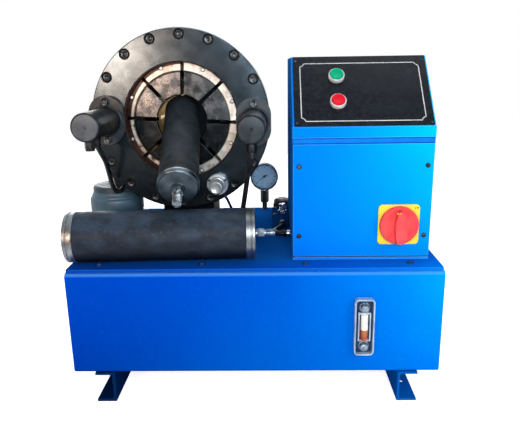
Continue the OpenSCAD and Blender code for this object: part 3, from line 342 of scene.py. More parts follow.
# finish: (maker, its values, the record's slot); a colour without a hash is one of the look's
FINISHES = {
    # sheet steel under blue enamel, painted lighter to the upper right; paler edges as wear and painted highlight;
    # painted highlights on folds, and painted shade towards the back, on the left side and on darker copies
    "enamel_tank_blue": (enamel, (("tank_shaded", "#0072e0"), ("#0044bf", "tank_lit"), "#4a9cf0", None, None,
                                  0.55), "tank_paint"),
    # the cover is painted lighter to the right, and darker behind its front edge as painted shade
    "enamel_cover_blue": (enamel, (("#0440a8", "#007cf4"), ("#0440a8", "#007cf4"), "#3f93ea",
                                   ("#124a80", "#0866d0", -0.228, -0.175)), "tank_paint"),
    # the feet's paint is a copy of the tank's, darker as painted shade
    "enamel_feet_blue": (enamel, (("#02183f", "#045cb4"), ("#021348", "#04449a"), "#1f60b0"), "tank_paint"),
    # the valve block's paint is a copy of the tank's, darker as painted shade
    "enamel_block_blue": (enamel, (("#0c3c74", "#0d4480"), ("#0c3c74", "#0d4480"), "#0e4580"), "tank_paint"),
    # the cabinet is painted lighter to the upper right, and its left side is in painted shade
    "enamel_azure": (enamel, (("cabinet_shaded", "#028ee8"), ("#027df4", "cabinet_lit"), "#6fd0ff", None,
                              "#1c6cc4", 0.0, (1.0, 1.8), (0.07, 0.33), (0.3, 0.52)), "box_paint"),
    # the seam band under the hood is painted shade, its edge lines painted shadow of the hood
    "enamel_seam_blue": (moulded, ("#0678e0", "#0470d6", 0.5, 0.0, 0.05), "box_paint"),
    "enamel_seam_dark": (moulded, ("#0350b0", "#0348a2", 0.5, 0.0, 0.05), "box_paint"),
    "enamel_screw_blue": (ground_steel, ("#0c2c60", "#1c4c90", 0.36, 0.3, 2, 8), "screw_blue"),
    # cast motor shell under grey-green enamel: dull, with a cloudy oil film
    "enamel_motor_grey": (ground_steel, ("#3b5868", "motor_grey", 0.4, 0.15, 4, 40), "motor_paint"),
    "enamel_motor_top": (ground_steel, ("#2e3f4b", "#3f5260", 0.42, 0.15, 4, 30), "motor_paint"),
    # blackened steel, turned or milled: oil-dark, with grey edges as rubbed wear and painted highlight, and wedges of
    # light
    "steel_flange": (machined_steel, ("#38454f", "#495762", "#5a483a", 0.12, 0.2, 3.0, 0.3, 20, 0.9),
                     "black_steel"),
    "steel_bore_rust": (machined_steel, ("#43302a", "#6a4c42", "#4a2f26", 0.4, 0.5, 3.0, 0.2, 30, 0.6),
                        "black_steel"),
    "steel_black": (ground_steel, ("#14181c", "#2b333a", 0.36, 0.6, 3, 40), "black_steel"),
    "steel_cylinder_left": (ground_steel, ("#0f1418", "#20272d", 0.4, 0.4, 3, 40), "black_steel"),
    "steel_bracket": (ground_steel, ("#1e272e", "#37424b", 0.36, 0.4, 3, 30, 0.7), "black_steel"),
    "steel_end_grey": (ground_steel, ("#434d56", "#5b6670", 0.44, 0.4, 2, 24), "black_steel"),
    "steel_end_dark": (ground_steel, ("#222a31", "#37434c", 0.42, 0.6, 2, 24), "black_steel"),
    "enamel_pedestal_black": (moulded, ("#14181c", "#0e1216", 0.5, 0.0, 0.05), "black_steel"),
    # painted shadow for the bolt pockets
    "oil_black": (moulded, ("#0d1114", "#171c20", 0.4, 0.0, 0.1), "black_steel"),
    "steel_bolt": (ground_steel, ("#15191c", "#5f6a72", 0.3, 0.9, 2, 8, 0.7), "bolt_steel"),
    "steel_bezel": (ground_steel, ("#c9d2d8", "#f6f8f9", 0.3, 0.3, 2, 12), "bolt_steel"),
    # ground jaw steel: grey where it is oiled, the dies in a lit, a middle and a darker copy as painted light and
    # shade;
    # cream and copper where it is bare or greased
    "steel_die_light": (jaw_steel, ("#4e555c", "#81878d"), "die_steel"),
    "steel_die": (jaw_steel, ("#343c43", "#626b72"), "die_steel"),
    "steel_die_dark": (jaw_steel, ("#23292e", "#363d43"), "die_steel"),
    "steel_strip_cream": (jaw_steel, ("#e0dcd4", "#fdfaf3", 0.25, 0.28), "bright_steel"),
    "steel_strip_oiled": (jaw_steel, ("#a9aaa6", "#dddcd6", 0.35, 0.3), "bright_steel"),
    "steel_strip_copper": (jaw_steel, ("#e4dccf", "#fbf6ec", 0.3, 0.28, ("#8a6450", 0.4), 5.5), "bright_steel"),
    "steel_strip_rusty": (jaw_steel, ("#c2b8ac", "#e6ded2", 0.3, 0.3, ("#402a24", 0.95), 4.0), "bright_steel"),
    "steel_turned_bright": (machined_steel, ("#737d84", "#aeb5ba", "#8a7f72", 0.05, 0.34, 1.6, 0.5, 40),
                            "bright_steel"),
    "steel_turned_dark": (machined_steel, ("#2f3b44", "#6a7881", "#54493f", 0.1, 0.26, 2.2, 0.85, 40),
                          "bright_steel"),
    # zinc and aluminium: pale metal with a soft bloom
    "aluminium_satin": (ground_steel, ("#b4c0c6", "#e4ecef", 0.34, 0.6, 4, 14), "zinc"),
    "level_satin": (ground_steel, ("#8aa8c2", "#b6cbdd", 0.34, 0.25, 4, 30), "zinc"),
    "level_tray_blue": (moulded, ("#12345e", "#0c2a50", 0.42), "zinc"),
    "zinc_dull": (zinc_plate, ("#8195a7", "#b8c9d8", 0.34), "zinc"),
    "zinc_plate": (zinc_plate, ("#5b666e", "#a3adb4", 0.26), "zinc"),
    "zinc_bright": (zinc_plate, ("#a9b6be", "#e6ecef", 0.2), "zinc"),
    # rubber and PVC: matte black with bloom, or a smooth jacket with a soft sheen
    # the lying hose's underside is darker as painted shade
    "rubber_lying_hose": (wrapped_rubber, ("lying_rubber", "#2a3a4c", "#38465c", 30, "#050c15"), "hose_rubber"),
    "rubber_held_hose": (wrapped_rubber, ("held_rubber", "#252f36", "#2f383d", 42), "hose_rubber"),
    "rubber_line": (smooth_rubber, ("#0b0d10", "#23282e"), "line_rubber"),
    "rubber_gasket": (smooth_rubber, ("#0a1020", "#141f36", 0.6), "line_rubber"),
    "pvc_cable_blue": (smooth_rubber, ("#0b1c52", "cable_blue", 0.4), "cable_jacket"),
    # anodised plate, ABS, nylon and print: even colours, most with a quiet shine
    "anodised_panel_black": (moulded, ("#10151c", "#151b23", 0.22, 0.0, 0.12), "panel_black"),
    "screen_print_grey": (moulded, ("#c8ccd0", "#b4b9be", 0.5), "panel_black"),
    "abs_green": (moulded, ("start_green", "#00946c", 0.3, 0.0, 0.06), "green_plastic"),
    "abs_red": (moulded, ("stop_red", "#c41527", 0.3, 0.0, 0.08), "red_plastic"),
    "abs_knob_red": (moulded, ("knob_red", "#ee464c", 0.4, 0.0, 0.12), "red_plastic"),
    "abs_yellow": (moulded, ("plate_yellow", "#ead43e", 0.36, 0.0, 0.12), "yellow_plastic"),
    "abs_orange_mark": (moulded, ("#ffb52a", "#f7a01e", 0.4), "yellow_plastic"),
    "nylon_black": (moulded, ("#17191c", "#0e1012", 0.42), "black_plastic"),
    "nylon_brown_band": (moulded, ("#2f3236", "#23272b", 0.3), "black_plastic"),
    "print_black": (moulded, ("#15171a", "#0d0e10", 0.55), "black_plastic"),
    # glass, acrylic and oil: clear, milky and amber
    "glass_clear": (clear, ("#dfeaf2", 0.06), "clear_glass"),
    "dial_enamel": (dial_paper, ("#a6e4fc", "#caf2ff"), "clear_glass"),
    "acrylic_milky": (moulded, ("#e9ebe4", "#d4d8d0", 0.18, 0.6), "sight_glass"),
    "oil_amber": (moulded, ("#b4683c", "#8a3520", 0.3, 0.3), "sight_glass"),
}
MADE = {}


def finish(name):
    """The named material, made on first use."""
    if name not in MADE:
        maker, values, _ = FINISHES[name]
        MADE[name] = maker(name, *values)
    return MADE[name]


# ---- shapes, in millimetres ----


def spot(x=0.0, y=0.0, z=0.0, rx=0.0, ry=0.0, rz=0.0):
    """A frame at a point, turned about X, then Y, then Z in degrees."""
    turn = Matrix.Identity(4)
    for angle, axis in ((rx, "X"), (ry, "Y"), (rz, "Z")):
        turn = Matrix.Rotation(math.radians(angle), 4, axis) @ turn
    return Matrix.Translation(Vector((x, y, z))) @ turn


def polar(radius, angle):
    """The point at a radius and an angle in degrees."""
    return radius * math.cos(math.radians(angle)), radius * math.sin(math.radians(angle))


def lathe(bm, profile, at=None, steps=STEPS, closed=False):
    """Turns (radius, height[, sides]) points round Z. A point with sides lies on a polygon, not a circle."""
    at = at or Matrix.Identity(4)
    rings = []
    for radius, height, *sides in profile:
        if radius < 1e-6:
            rings.append([bm.verts.new(at @ Vector((0, 0, height)))])
            continue
        ring = []
        for k in range(steps):
            angle = math.radians(360 * k / steps)
            reach = radius
            if sides:
                half = math.pi / sides[0]
                reach = radius * math.cos(half) / math.cos((angle % (2 * half)) - half)
            ring.append(bm.verts.new(at @ Vector((reach * math.cos(angle), reach * math.sin(angle), height))))
        rings.append(ring)
    pairs = list(zip(rings, rings[1:])) + ([(rings[-1], rings[0])] if closed else [])
    for low, high in pairs:
        if len(low) == 1 and len(high) == 1:
            continue
        for k in range(steps):
            n = (k + 1) % steps
            if len(low) == 1:
                bm.faces.new((low[0], high[n], high[k]))
            elif len(high) == 1:
                bm.faces.new((low[k], low[n], high[0]))
            else:
                bm.faces.new((low[k], low[n], high[n], high[k]))


def prism(bm, outline, low, high, at=None):
    """Extrudes a plane outline from low to high along Z."""
    at = at or Matrix.Identity(4)
    bottom = [bm.verts.new(at @ Vector((x, y, low))) for x, y in outline]
    top = [bm.verts.new(at @ Vector((x, y, high))) for x, y in outline]
    bm.faces.new(list(reversed(bottom)))
    bm.faces.new(top)
    for k in range(len(outline)):
        n = (k + 1) % len(outline)
        bm.faces.new((bottom[k], bottom[n], top[n], top[k]))


def block(bm, x, y, z, at=None):
    """A cuboid between pairs of x, y and z."""
    prism(bm, [(x[0], y[0]), (x[1], y[0]), (x[1], y[1]), (x[0], y[1])], z[0], z[1], at)


def rounded(width, height, radius, steps=8, centre=(0, 0)):
    """The outline of a rectangle with round corners."""
    points = []
    for k, (sx, sy) in enumerate(((1, 1), (-1, 1), (-1, -1), (1, -1))):
        cx, cy = sx * (width / 2 - radius) + centre[0], sy * (height / 2 - radius) + centre[1]
        for i in range(steps + 1):
            dx, dy = polar(radius, 90 * k + 90 * i / steps)
            points.append((cx + dx, cy + dy))
    return points


def smooth(route, steps):
    """Points along a smooth curve through a route."""
    route = [Vector(p) for p in route]
    last = len(route) - 1
    slopes = [(route[min(i + 1, last)] - route[max(i - 1, 0)]) / 2 for i in range(last + 1)]
    points = []
    for i in range(last):
        for k in range(steps):
            t = k / steps
            points.append((2 * t ** 3 - 3 * t ** 2 + 1) * route[i] + (t ** 3 - 2 * t ** 2 + t) * slopes[i]
                          + (3 * t ** 2 - 2 * t ** 3) * route[i + 1] + (t ** 3 - t ** 2) * slopes[i + 1])
    return points + [route[last]]


def tube(bm, points, radius, sides=20):
    """Sweeps a circle along points."""
    last = len(points) - 1
    ways = [(points[min(i + 1, last)] - points[max(i - 1, 0)]).normalized() for i in range(last + 1)]
    side = ways[0].orthogonal().normalized()
    rings = []
    for point, way in zip(points, ways):
        side = (side - way * side.dot(way)).normalized()
        up = way.cross(side)
        rings.append([bm.verts.new(point + radius * (math.cos(a) * side + math.sin(a) * up))
                      for a in (2 * math.pi * k / sides for k in range(sides))])
    for low, high in zip(rings, rings[1:]):
        for k in range(sides):
            n = (k + 1) % sides
            bm.faces.new((low[k], low[n], high[n], high[k]))
    bm.faces.new(list(reversed(rings[0])))
    bm.faces.new(rings[-1])


def thread(low, high, radius, pitch=1.8, depth=0.7):
    """Profile points of a screw thread, as ridges."""
    count = max(1, round((high - low) / pitch))
    step = (high - low) / count
    points = []
    for k in range(count):
        z = low + k * step
        points += [(radius - depth, z), (radius, z + step * 0.35), (radius, z + step * 0.55)]
    return points + [(radius - depth, high)]


def cap_screw(radius, height, socket=0.5):
    """Profile of a socket head cap screw's head, foot at 0, with a hexagon socket."""
    return [(0, 0), (radius, 0), (radius, height * 0.86), (radius * 0.9, height), (radius * socket * 1.25, height),
            (radius * socket, height * 0.94, 6), (radius * socket, height * 0.45, 6), (0, height * 0.38)]


def hexagon(radius, low, high):
    """Profile of a chamfered hexagon nut."""
    c = min(1.2, (high - low) * 0.2)
    return [(0, low), (radius * 0.86, low), (radius, low + c, 6), (radius, high - c, 6), (radius * 0.86, high),
            (0, high)]


# ---- pieces ----


def placed(name, bm, at=None):
    """A new object with the mesh bm, in metres, in the frame at, in millimetres."""
    mesh = bpy.data.meshes.new(name)
    bm.to_mesh(mesh)
    bm.free()
    piece = bpy.data.objects.new(name, mesh)
    bpy.context.scene.collection.objects.link(piece)
    if at is not None:
        frame_at = at.copy()
        frame_at.translation *= MM
        piece.matrix_world = frame_at
    return piece


def drawn(name, make, at=None):
    """A new object that make draws in millimetres in the frame at."""
    bm = bmesh.new()
    make(bm)
    bmesh.ops.recalc_face_normals(bm, faces=bm.faces)
    bmesh.ops.scale(bm, vec=(MM, MM, MM), verts=bm.verts)
    return placed(name, bm, at)


def build(name, make, material, body="machine", at=None, soft=0.6, stands_for=(), cuts=None):
    """Makes a piece: make draws it in millimetres in the frame at, soft is the width of its eased edges."""
    piece = drawn(name, make, at)
    if cuts:
        carve(piece, cuts)
    return dress(piece, material, body, soft, stands_for)


def dress(piece, material, body, soft, stands_for):
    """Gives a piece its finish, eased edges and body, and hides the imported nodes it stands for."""
    piece.data.materials.clear()
    piece.data.materials.append(finish(material))
    piece.data.shade_smooth()
    piece.data.set_sharp_from_angle(angle=CREASE)
    if soft:
        ease = piece.modifiers.new("Eased edges", "BEVEL")
        ease.width = soft * MM
        ease.segments = 2
        ease.limit_method = "ANGLE"
        ease.angle_limit = CREASE
        ease.harden_normals = True
    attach(piece, body)
    if stands_for:
        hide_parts(*stands_for)
    return piece


def carve(piece, make):
    """Cuts shapes drawn by make, in the piece's own frame, out of it."""
    cutter = drawn("cutter", make)
    cutter.matrix_world = piece.matrix_world
    bpy.context.view_layer.update()
    cut = piece.modifiers.new("Cut", "BOOLEAN")
    cut.operation = "DIFFERENCE"
    cut.solver = "EXACT"
    cut.object = cutter
    graph = bpy.context.evaluated_depsgraph_get()
    done = bpy.data.meshes.new_from_object(piece.evaluated_get(graph))
    piece.modifiers.clear()
    old, spare = piece.data, cutter.data
    piece.data = done
    done.name = piece.name
    bpy.data.meshes.remove(old)
    bpy.data.objects.remove(cutter)
    bpy.data.meshes.remove(spare)


def from_node(node, name, material, body="machine", soft=0.8):
    """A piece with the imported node's own shape, its edges eased."""
    bm = bmesh.new()
    bm.from_mesh(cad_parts[node].data)
    bmesh.ops.remove_doubles(bm, verts=bm.verts, dist=0.00002)
    bmesh.ops.dissolve_limit(bm, angle_limit=math.radians(0.4), verts=bm.verts, edges=bm.edges)
    return dress(placed(name, bm), material, body, soft, (node,))


def several(entries):
    """A maker that turns each (profile, frame, steps)."""
    def make(bm):
        for profile, at, steps in entries:
            lathe(bm, profile, at, steps)
    return make


def front(x, y, z):
    """A frame on a front face: Z towards the operator, Y up."""
    return spot(x, y, z, rx=90)


def head(x=0.0, y=0.0, z=0.0):
    """A frame on the head's axis: Z is the depth behind the flange's face, Y is down."""
    return spot(*HEAD, rx=-90) @ spot(x, y, z)


def ram(side, y=0.0, z=0.0):
    """A frame on the axis of the left (-1) or right (1) return cylinder, as in head()."""
    x, down = polar(side * RAM_OFFSET, FLANGE_TURN)
    return head(x, down + y, z)


def slope(x, s, z=0.0):
    """A frame on the sloped panel: x across, s up the slope, Z out of it."""
    return spot(0, BOX_Y[0], FOLD_Z, rx=SLOPE) @ spot(x, s, z)


# ---- studio ----


def seen_rays(tree):
    """1 for what the camera sees, also through glass, and the light path it is taken from."""
    rays = add(tree, "ShaderNodeLightPath").outputs
    seen = add(tree, "ShaderNodeMath", {0: rays["Is Camera Ray"], 1: rays["Is Transmission Ray"]},
               operation="MAXIMUM")
    return seen.outputs[0], rays


def lay_floor():
    """Lit paper just under the feet, lifted to white where the machine's shadow does not fall."""
    bm = bmesh.new()
    bm.faces.new([bm.verts.new(corner) for corner in ((-2.2, -0.8, 0), (2.2, -0.8, 0), (2.2, 3, 0), (-2.2, 3, 0))])
    floor = placed("studio_floor", bm)
    floor.location.z = -0.0002
    material = bpy.data.materials.new("studio_paper")
    tree = empty_tree(material)
    paper = add(tree, "ShaderNodeBsdfDiffuse", {"Color": rgba("floor")})
    glow = add(tree, "ShaderNodeEmission", {"Color": rgba("#ffffff"), "Strength": 0.75})
    both = add(tree, "ShaderNodeAddShader", {0: paper.outputs[0], 1: glow.outputs[0]})
    pick = add(tree, "ShaderNodeMixShader", {0: seen_rays(tree)[0], 1: paper.outputs[0], 2: both.outputs[0]})
    add(tree, "ShaderNodeOutputMaterial", {"Surface": pick.outputs[0]})
    floor.data.materials.append(material)


def light_dome(scene):
    """An even dome that shows as white paper. Metal mirrors a darker room behind the operator."""
    scene.world = bpy.data.worlds.new("studio_dome")
    tree = empty_tree(scene.world)
    seen, rays = seen_rays(tree)
    way = add(tree, "ShaderNodeSeparateXYZ", {"Vector": add(tree, "ShaderNodeTexCoord").outputs["Generated"]})
    room = add(tree, "ShaderNodeMapRange", {"Value": way.outputs["Y"], "From Min": -0.7, "From Max": 0.3,
                                            "To Min": 0.14, "To Max": 1.0},
               interpolation_type="SMOOTHSTEP").outputs["Result"]
    soft = add(tree, "ShaderNodeMix", {0: rays["Is Glossy Ray"], 2: 0.45, 3: room}, data_type="FLOAT").outputs[0]
    level = add(tree, "ShaderNodeMix", {0: seen, 2: soft, 3: 1.0}, data_type="FLOAT").outputs[0]
    backdrop = add(tree, "ShaderNodeBackground", {"Color": rgba("#ffffff"), "Strength": level})
    add(tree, "ShaderNodeOutputWorld", {"Surface": backdrop.outputs[0]})


def hang_softbox(name, power, size, place, target, colour="#ffffff"):
    """A softbox, size metres wide and high, at a place and aimed at a target in metres."""
    light = bpy.data.lights.new(name, "AREA")
    light.energy = power
    light.shape = "RECTANGLE"
    light.size, light.size_y = size
    light.color = linear(colour)
    made = bpy.data.objects.new(name, light)
    bpy.context.scene.collection.objects.link(made)
    made.location = place
    made.rotation_euler = (Vector(target) - Vector(place)).to_track_quat("-Z", "Y").to_euler()


def set_bore_card():
    """A card glowing behind the head's bore: painted dark room, painted warm light on its left; open from behind."""
    bm = bmesh.new()
    lathe(bm, [(0, 0), (79, 0)], None, 64)
    bmesh.ops.scale(bm, vec=(MM, MM, MM), verts=bm.verts)
    card = placed("bore_card", bm, spot(HEAD[0], 186, HEAD[2], rx=-90))
    material = bpy.data.materials.new("bore_card_painted_room")
    tree = empty_tree(material)
    place = add(tree, "ShaderNodeSeparateXYZ", {"Vector": add(tree, "ShaderNodeTexCoord").outputs["Object"]})
    warm = add(tree, "ShaderNodeMapRange", {"Value": place.outputs["X"], "From Min": -0.03, "From Max": -0.012,
                                            "To Min": 1.0, "To Max": 0.0}).outputs["Result"]
    # painted: the card glows dark, and warm on its left as painted light from a room
    shade = lay(tree, "#0c1014", "#e8bc80", warm)
    dark = add(tree, "ShaderNodeBsdfDiffuse", {"Color": shade})
    glow = add(tree, "ShaderNodeEmission", {"Color": shade, "Strength": 1.0})
    lit = add(tree, "ShaderNodeAddShader", {0: dark.outputs[0], 1: glow.outputs[0]})
    open_air = add(tree, "ShaderNodeBsdfTransparent")
    behind = add(tree, "ShaderNodeNewGeometry").outputs["Backfacing"]
    pick = add(tree, "ShaderNodeMixShader", {0: behind, 1: lit.outputs[0], 2: open_air.outputs[0]})
    add(tree, "ShaderNodeOutputMaterial", {"Surface": pick.outputs[0]})
    card.data.materials.append(material)


def aim_camera(scene):
    """A camera a little above the head, looking down at the machine."""
    lens = bpy.data.cameras.new("camera")
    lens.sensor_width = FILM_WIDTH
    lens.lens = FOCAL_SHARE * FILM_WIDTH
    lens.shift_x, lens.shift_y = LENS_SHIFT
    lens.clip_start, lens.clip_end = 0.05, 50.0
    camera = bpy.data.objects.new("camera", lens)
    scene.collection.objects.link(camera)
    pitch, yaw, roll = (math.radians(angle) for angle in EYE_TURN)
    ahead = Vector((math.sin(yaw) * math.cos(pitch), math.cos(yaw) * math.cos(pitch), -math.sin(pitch)))
    level_right = Vector((math.cos(yaw), -math.sin(yaw), 0))
    level_up = level_right.cross(ahead)
    right = level_right * math.cos(roll) - level_up * math.sin(roll)
    up = level_right * math.sin(roll) + level_up * math.cos(roll)
    turn = Matrix((right, up, -ahead)).transposed().to_4x4()
    camera.matrix_world = Matrix.Translation(Vector(EYE) * MM) @ turn
    scene.camera = camera


# ---- settings ----


def paint(name, description, shade):
    """A colour property with a hex default."""
    return FloatVectorProperty(name=name, description=description, subtype="COLOR", default=linear(shade), min=0.0,
                               max=1.0)


class CrimperSizes(PropertyGroup):
    """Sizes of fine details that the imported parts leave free"""

    sheet_edge: FloatProperty(name="Sheet edge", description="Width of the eased edges of folded sheet steel",
                              default=0.0016, min=0.0002, max=0.004, unit="LENGTH")
    steel_edge: FloatProperty(name="Steel edge", description="Width of the chamfers on machined steel",
                              default=0.0009, min=0.0002, max=0.003, unit="LENGTH")
    plate_line: FloatProperty(name="Panel line", description="Width of the printed line on the panel",
                              default=0.0018, min=0.0005, max=0.003, unit="LENGTH")
    needle: FloatProperty(name="Needle", description="Length of the gauge needle", default=0.023, min=0.012,
                          max=0.026, unit="LENGTH")


class CrimperLook(PropertyGroup):
    """Colours of the finishes that come in a choice, and the light"""

    # the tank's and the cabinet's colours are painted light: the lower left one is painted shade, the upper right one
    # lit
    tank_shaded: paint("Tank, deep", "Tank enamel at the lower left, where it has kept its depth", "#00359c")
    tank_lit: paint("Tank, faded", "Tank enamel at the upper right, where daylight has faded it", "#0098ff")
    cabinet_shaded: paint("Cabinet, deep", "Cabinet enamel at the lower left", "#0371e6")
    cabinet_lit: paint("Cabinet, faded", "Cabinet enamel at the upper right", "#02bef8")
    motor_grey: paint("Motor", "Enamel of the motor's shell where it is clean", "#48667a")
    start_green: paint("Start button", "Cap of the upper button", "#00a67c")
    stop_red: paint("Stop button", "Cap of the lower button", "#d4192c")
    knob_red: paint("Switch knob", "Knob of the main switch", "#f9565a")
    plate_yellow: paint("Switch plate", "Plate of the main switch", "#f6de48")
    cable_blue: paint("Sensor cable", "Jacket of the sensor's cable where it shines", "#1d3a8c")
    lying_rubber: paint("Lying hose", "Clean rubber of the lying hose", "#1a2632")
    held_rubber: paint("Held hose", "Clean rubber of the held hose", "#141a1f")
    floor: paint("Floor", "Colour of the studio floor", "#f4f5f6")
    key: FloatProperty(name="Key light", description="Power of the softbox at the front right", default=10.0,
                       min=0.0, max=200.0, unit="POWER")
    fill: FloatProperty(name="Window light", description="Power of the softbox at the front left", default=7.0,
                        min=0.0, max=200.0, unit="POWER")


def sizes():
    """The scene's sizes, in metres."""
    return bpy.context.scene.crimper_sizes


def look():
    """The scene's colours and lamp powers."""
    return bpy.context.scene.crimper_look


# ---- operators ----


class MakeTank(Operator):
    """Oil tank, its cover with gasket and screws, and the channel feet"""

    bl_idname = "crimper.tank"
    bl_label = "Tank and feet"

    def execute(self, context):
        edge = sizes().sheet_edge / MM
        side = spot(rx=90, rz=90)
        half, depth, height, middle = 350, 480, 203, (0, 163.5)

        def shell(bm):
            prism(bm, rounded(depth, height, 9, 8, middle), 0.8 - half, half - 0.8, side)
            # the end plates lie inside the folded rim
            for x in (-half, half - 1.4):
                prism(bm, rounded(depth - 7, height - 7, 7, 8, middle), x, x + 1.4, side)

        build("tank_body", shell, "enamel_tank_blue", soft=0.7, stands_for=("tank_shell",))

        def welds(bm):
            for x in (1.1 - half, half - 1.1):
                path = [Vector((x, y, z)) for y, z in rounded(depth - 6.5, height - 6.5, 7, 6, middle)]
                tube(bm, path + path[:1], 1.1, 8)

        build("tank_weld_beads", welds, "enamel_tank_blue", soft=0)
        build("cover_gasket", lambda bm: prism(bm, rounded(2 * half - 10, depth - 10, 4), 263.2, 265.05),
              "rubber_gasket", soft=0.3)

        def cover(bm):
            prism(bm, rounded(2 * half - 6, depth - 6, 4), 265.0, COVER_TOP)
            # the filler neck
            lathe(bm, [(13, 0), (13, 16), (17, 16), (17, 3), (18.5, 0)], spot(*FILLER, COVER_TOP), 48)

        build("tank_cover_plate", cover, "enamel_cover_blue", soft=edge * 0.8, stands_for=("tank_cover",))
        screws = [([(0, 0), (7.2, 0), (7.2, 0.7), (5.2, 0.9)], spot(x, y, COVER_TOP), 36) for x, y in COVER_SCREWS]
        screws += [(cap_screw(5, 3.6), entry[1] @ spot(0, 0, 0.4), 36) for entry in screws]
        build("cover_screw_heads", several(screws), "enamel_screw_blue", soft=0.25, stands_for=("cover_screws",))

        def channels(bm):
            for s in (-1, 1):
                outer = [(272, 0), (310, 0), (310, 5), (280.5, 5), (278, 6), (277, 8.5), (277, 53.5), (278, 56),
                         (280.5, 57), (310, 57), (310, 62), (272, 62)]
                prism(bm, [(s * x, z) for x, z in outer], -240, 240, spot(rx=90))

        def holes(bm):
            for x, y in FOOT_HOLES:
                lathe(bm, [(0, -2), (5.5, -2), (5.5, 8), (0, 8)], spot(x, y, 0), 32)

        build("channel_feet", channels, "enamel_feet_blue", soft=1.2, stands_for=("feet",), cuts=holes)
        return {"FINISHED"}


class MakeLevelGauge(Operator):
    """Oil level gauge on the tank's front"""

    bl_idname = "crimper.level_gauge"
    bl_label = "Level gauge"

    def execute(self, context):
        at = front(*LEVEL_GAUGE)
        along = at @ spot(0, 0, 8.6, rx=-90)

        def pocket(bm):
            prism(bm, rounded(31, 106, 5), 4.5, 20)

        build("level_gauge_frame", lambda bm: prism(bm, rounded(37, 112, 8), 0, 14), "level_satin", at=at, soft=1.2,
              stands_for=("level_frame",), cuts=pocket)
        build("level_gauge_tray", lambda bm: prism(bm, rounded(30.6, 105.6, 4.8), 4.0, 5.2), "level_tray_blue",
              at=at, soft=0.2)
        parts = []
        for dz in (-38.5, 38.5):
            bolt_at = at @ spot(0, dz, 5)
            parts += [([(0, 0), (10, 0), (10, 2.2), (9, 3), (8, 3)], bolt_at, 36), (hexagon(8, 3, 11), bolt_at, 36),
                      ([(0, 10.6), (4.5, 10.9), (3.5, 11.6), (0, 11.8)], bolt_at, 36)]
        build("level_gauge_bolts", several(parts), "zinc_dull", soft=0.3, stands_for=("level_bolts",))
        build("level_gauge_tube", lambda bm: lathe(bm, [(0, -5), (6.4, -5), (6.8, -4.4), (6.8, 25), (6, 26), (0, 26)],
              along, 36), "acrylic_milky", soft=0, stands_for=("level_glass",))
        build("level_gauge_oil", lambda bm: lathe(bm, [(0, -26), (6, -26), (6.8, -25), (6.8, -4.6), (6.4, -4.2),
              (0, -4.2)], along, 36), "oil_amber", soft=0)

        def guard(bm):
            for x in (-10.4, 10.4):
                block(bm, (x - 1.2, x + 1.2), (-27, 27), (5, 12))
            for y in (-27, 27):
                block(bm, (-11.6, 11.6), (y - 1.5, y + 1.5), (5, 10))

        build("level_gauge_guard", guard, "level_satin", at=at, soft=0.4)
        return {"FINISHED"}


class MakeFillerCap(Operator):
    """Knurled breather cap on the filler neck"""

    bl_idname = "crimper.filler_cap"
    bl_label = "Filler cap"

    def execute(self, context):
        at = spot(*FILLER, COVER_TOP + 1)

        def cap(bm):
            lathe(bm, [(17.4, 0), (20, 0), (21, 1.2), (21, 26), (19.8, 27.4), (0, 27.4), (0, 17.4), (17.4, 17.4)],
                  None, 72)
            for k in range(36):
                lathe(bm, [(0, 2.4), (0.9, 2.6), (1.2, 3.4), (1.2, 24), (0.9, 25), (0, 25.2)],
                      spot(rz=10 * k) @ spot(21, 0, 0), 8)

        build("filler_cap_body", cap, "nylon_black", "filler_cap", at=at, soft=0.3, stands_for=("filler_cap",))
        build("filler_cap_lid", lambda bm: lathe(bm, [(0, 27.2), (20, 27.2), (20.6, 28.6), (20.4, 32), (19, 35),
              (15.5, 37.2), (9, 37.9), (8.4, 37.2), (0, 37.2)]), "nylon_brown_band", "filler_cap", at=at, soft=0)
        return {"FINISHED"}


class MakeMotor(Operator):
    """Electric motor with its fan cowl, rotor and the pump in the tank"""

    bl_idname = "crimper.motor"
    bl_label = "Motor and pump"

    def execute(self, context):
        at = spot(*MOTOR)

        def case(bm):
            lathe(bm, [(7.4, 272), (57, 272), (58.8, 273), (58.8, 282), (56, 284), (56, 304), (58.8, 306),
                       (58.8, 312), (57, 315), (57, 318), (58.8, 321), (58.8, 345), (57.8, 348.5), (55, 351),
                       (54.4, 352), (54.4, 355), (52.5, 357.5), (50.8, 361), (50.8, 364), (48, 366), (46, 366),
                       (46, 304), (7.4, 304)], None, STEPS, closed=True)
            for k in range(36):
                block(bm, (55, 58.6), (-1.2, 1.2), (283, 305), spot(rz=10 * k))
            for k in range(4):
                lathe(bm, [(0, 340), (3.4, 340), (3.4, 344), (2.6, 345), (0, 345)],
                      spot(rz=45 + 90 * k) @ spot(55.2, 0, 0), 18)

        build("motor_housing", case, "enamel_motor_grey", at=at, soft=0.6, stands_for=("motor_case",))

        def vents(bm):
            # slots in the cowl's top, between the spokes
            for k in range(12):
                block(bm, (15, 38), (-2.2, 2.2), (360, 390), spot(rz=30 * k + 15))

        build("motor_fan_cowl", lambda bm: lathe(bm, [(0, 373.4), (43.5, 373.4), (48, 370), (48, 362), (50.5, 362),
              (50.5, 371), (49, 374.6), (45.5, 377), (12, 377), (11, 376.2), (0, 376.2)]), "enamel_motor_top",
              at=at, soft=0.4, cuts=vents)
        from_node("motor_rotor", "motor_fan_and_shaft", "steel_turned_bright", "fan", 0.5)
        from_node("pump", "gear_pump", "steel_black", soft=0.8)
        return {"FINISHED"}


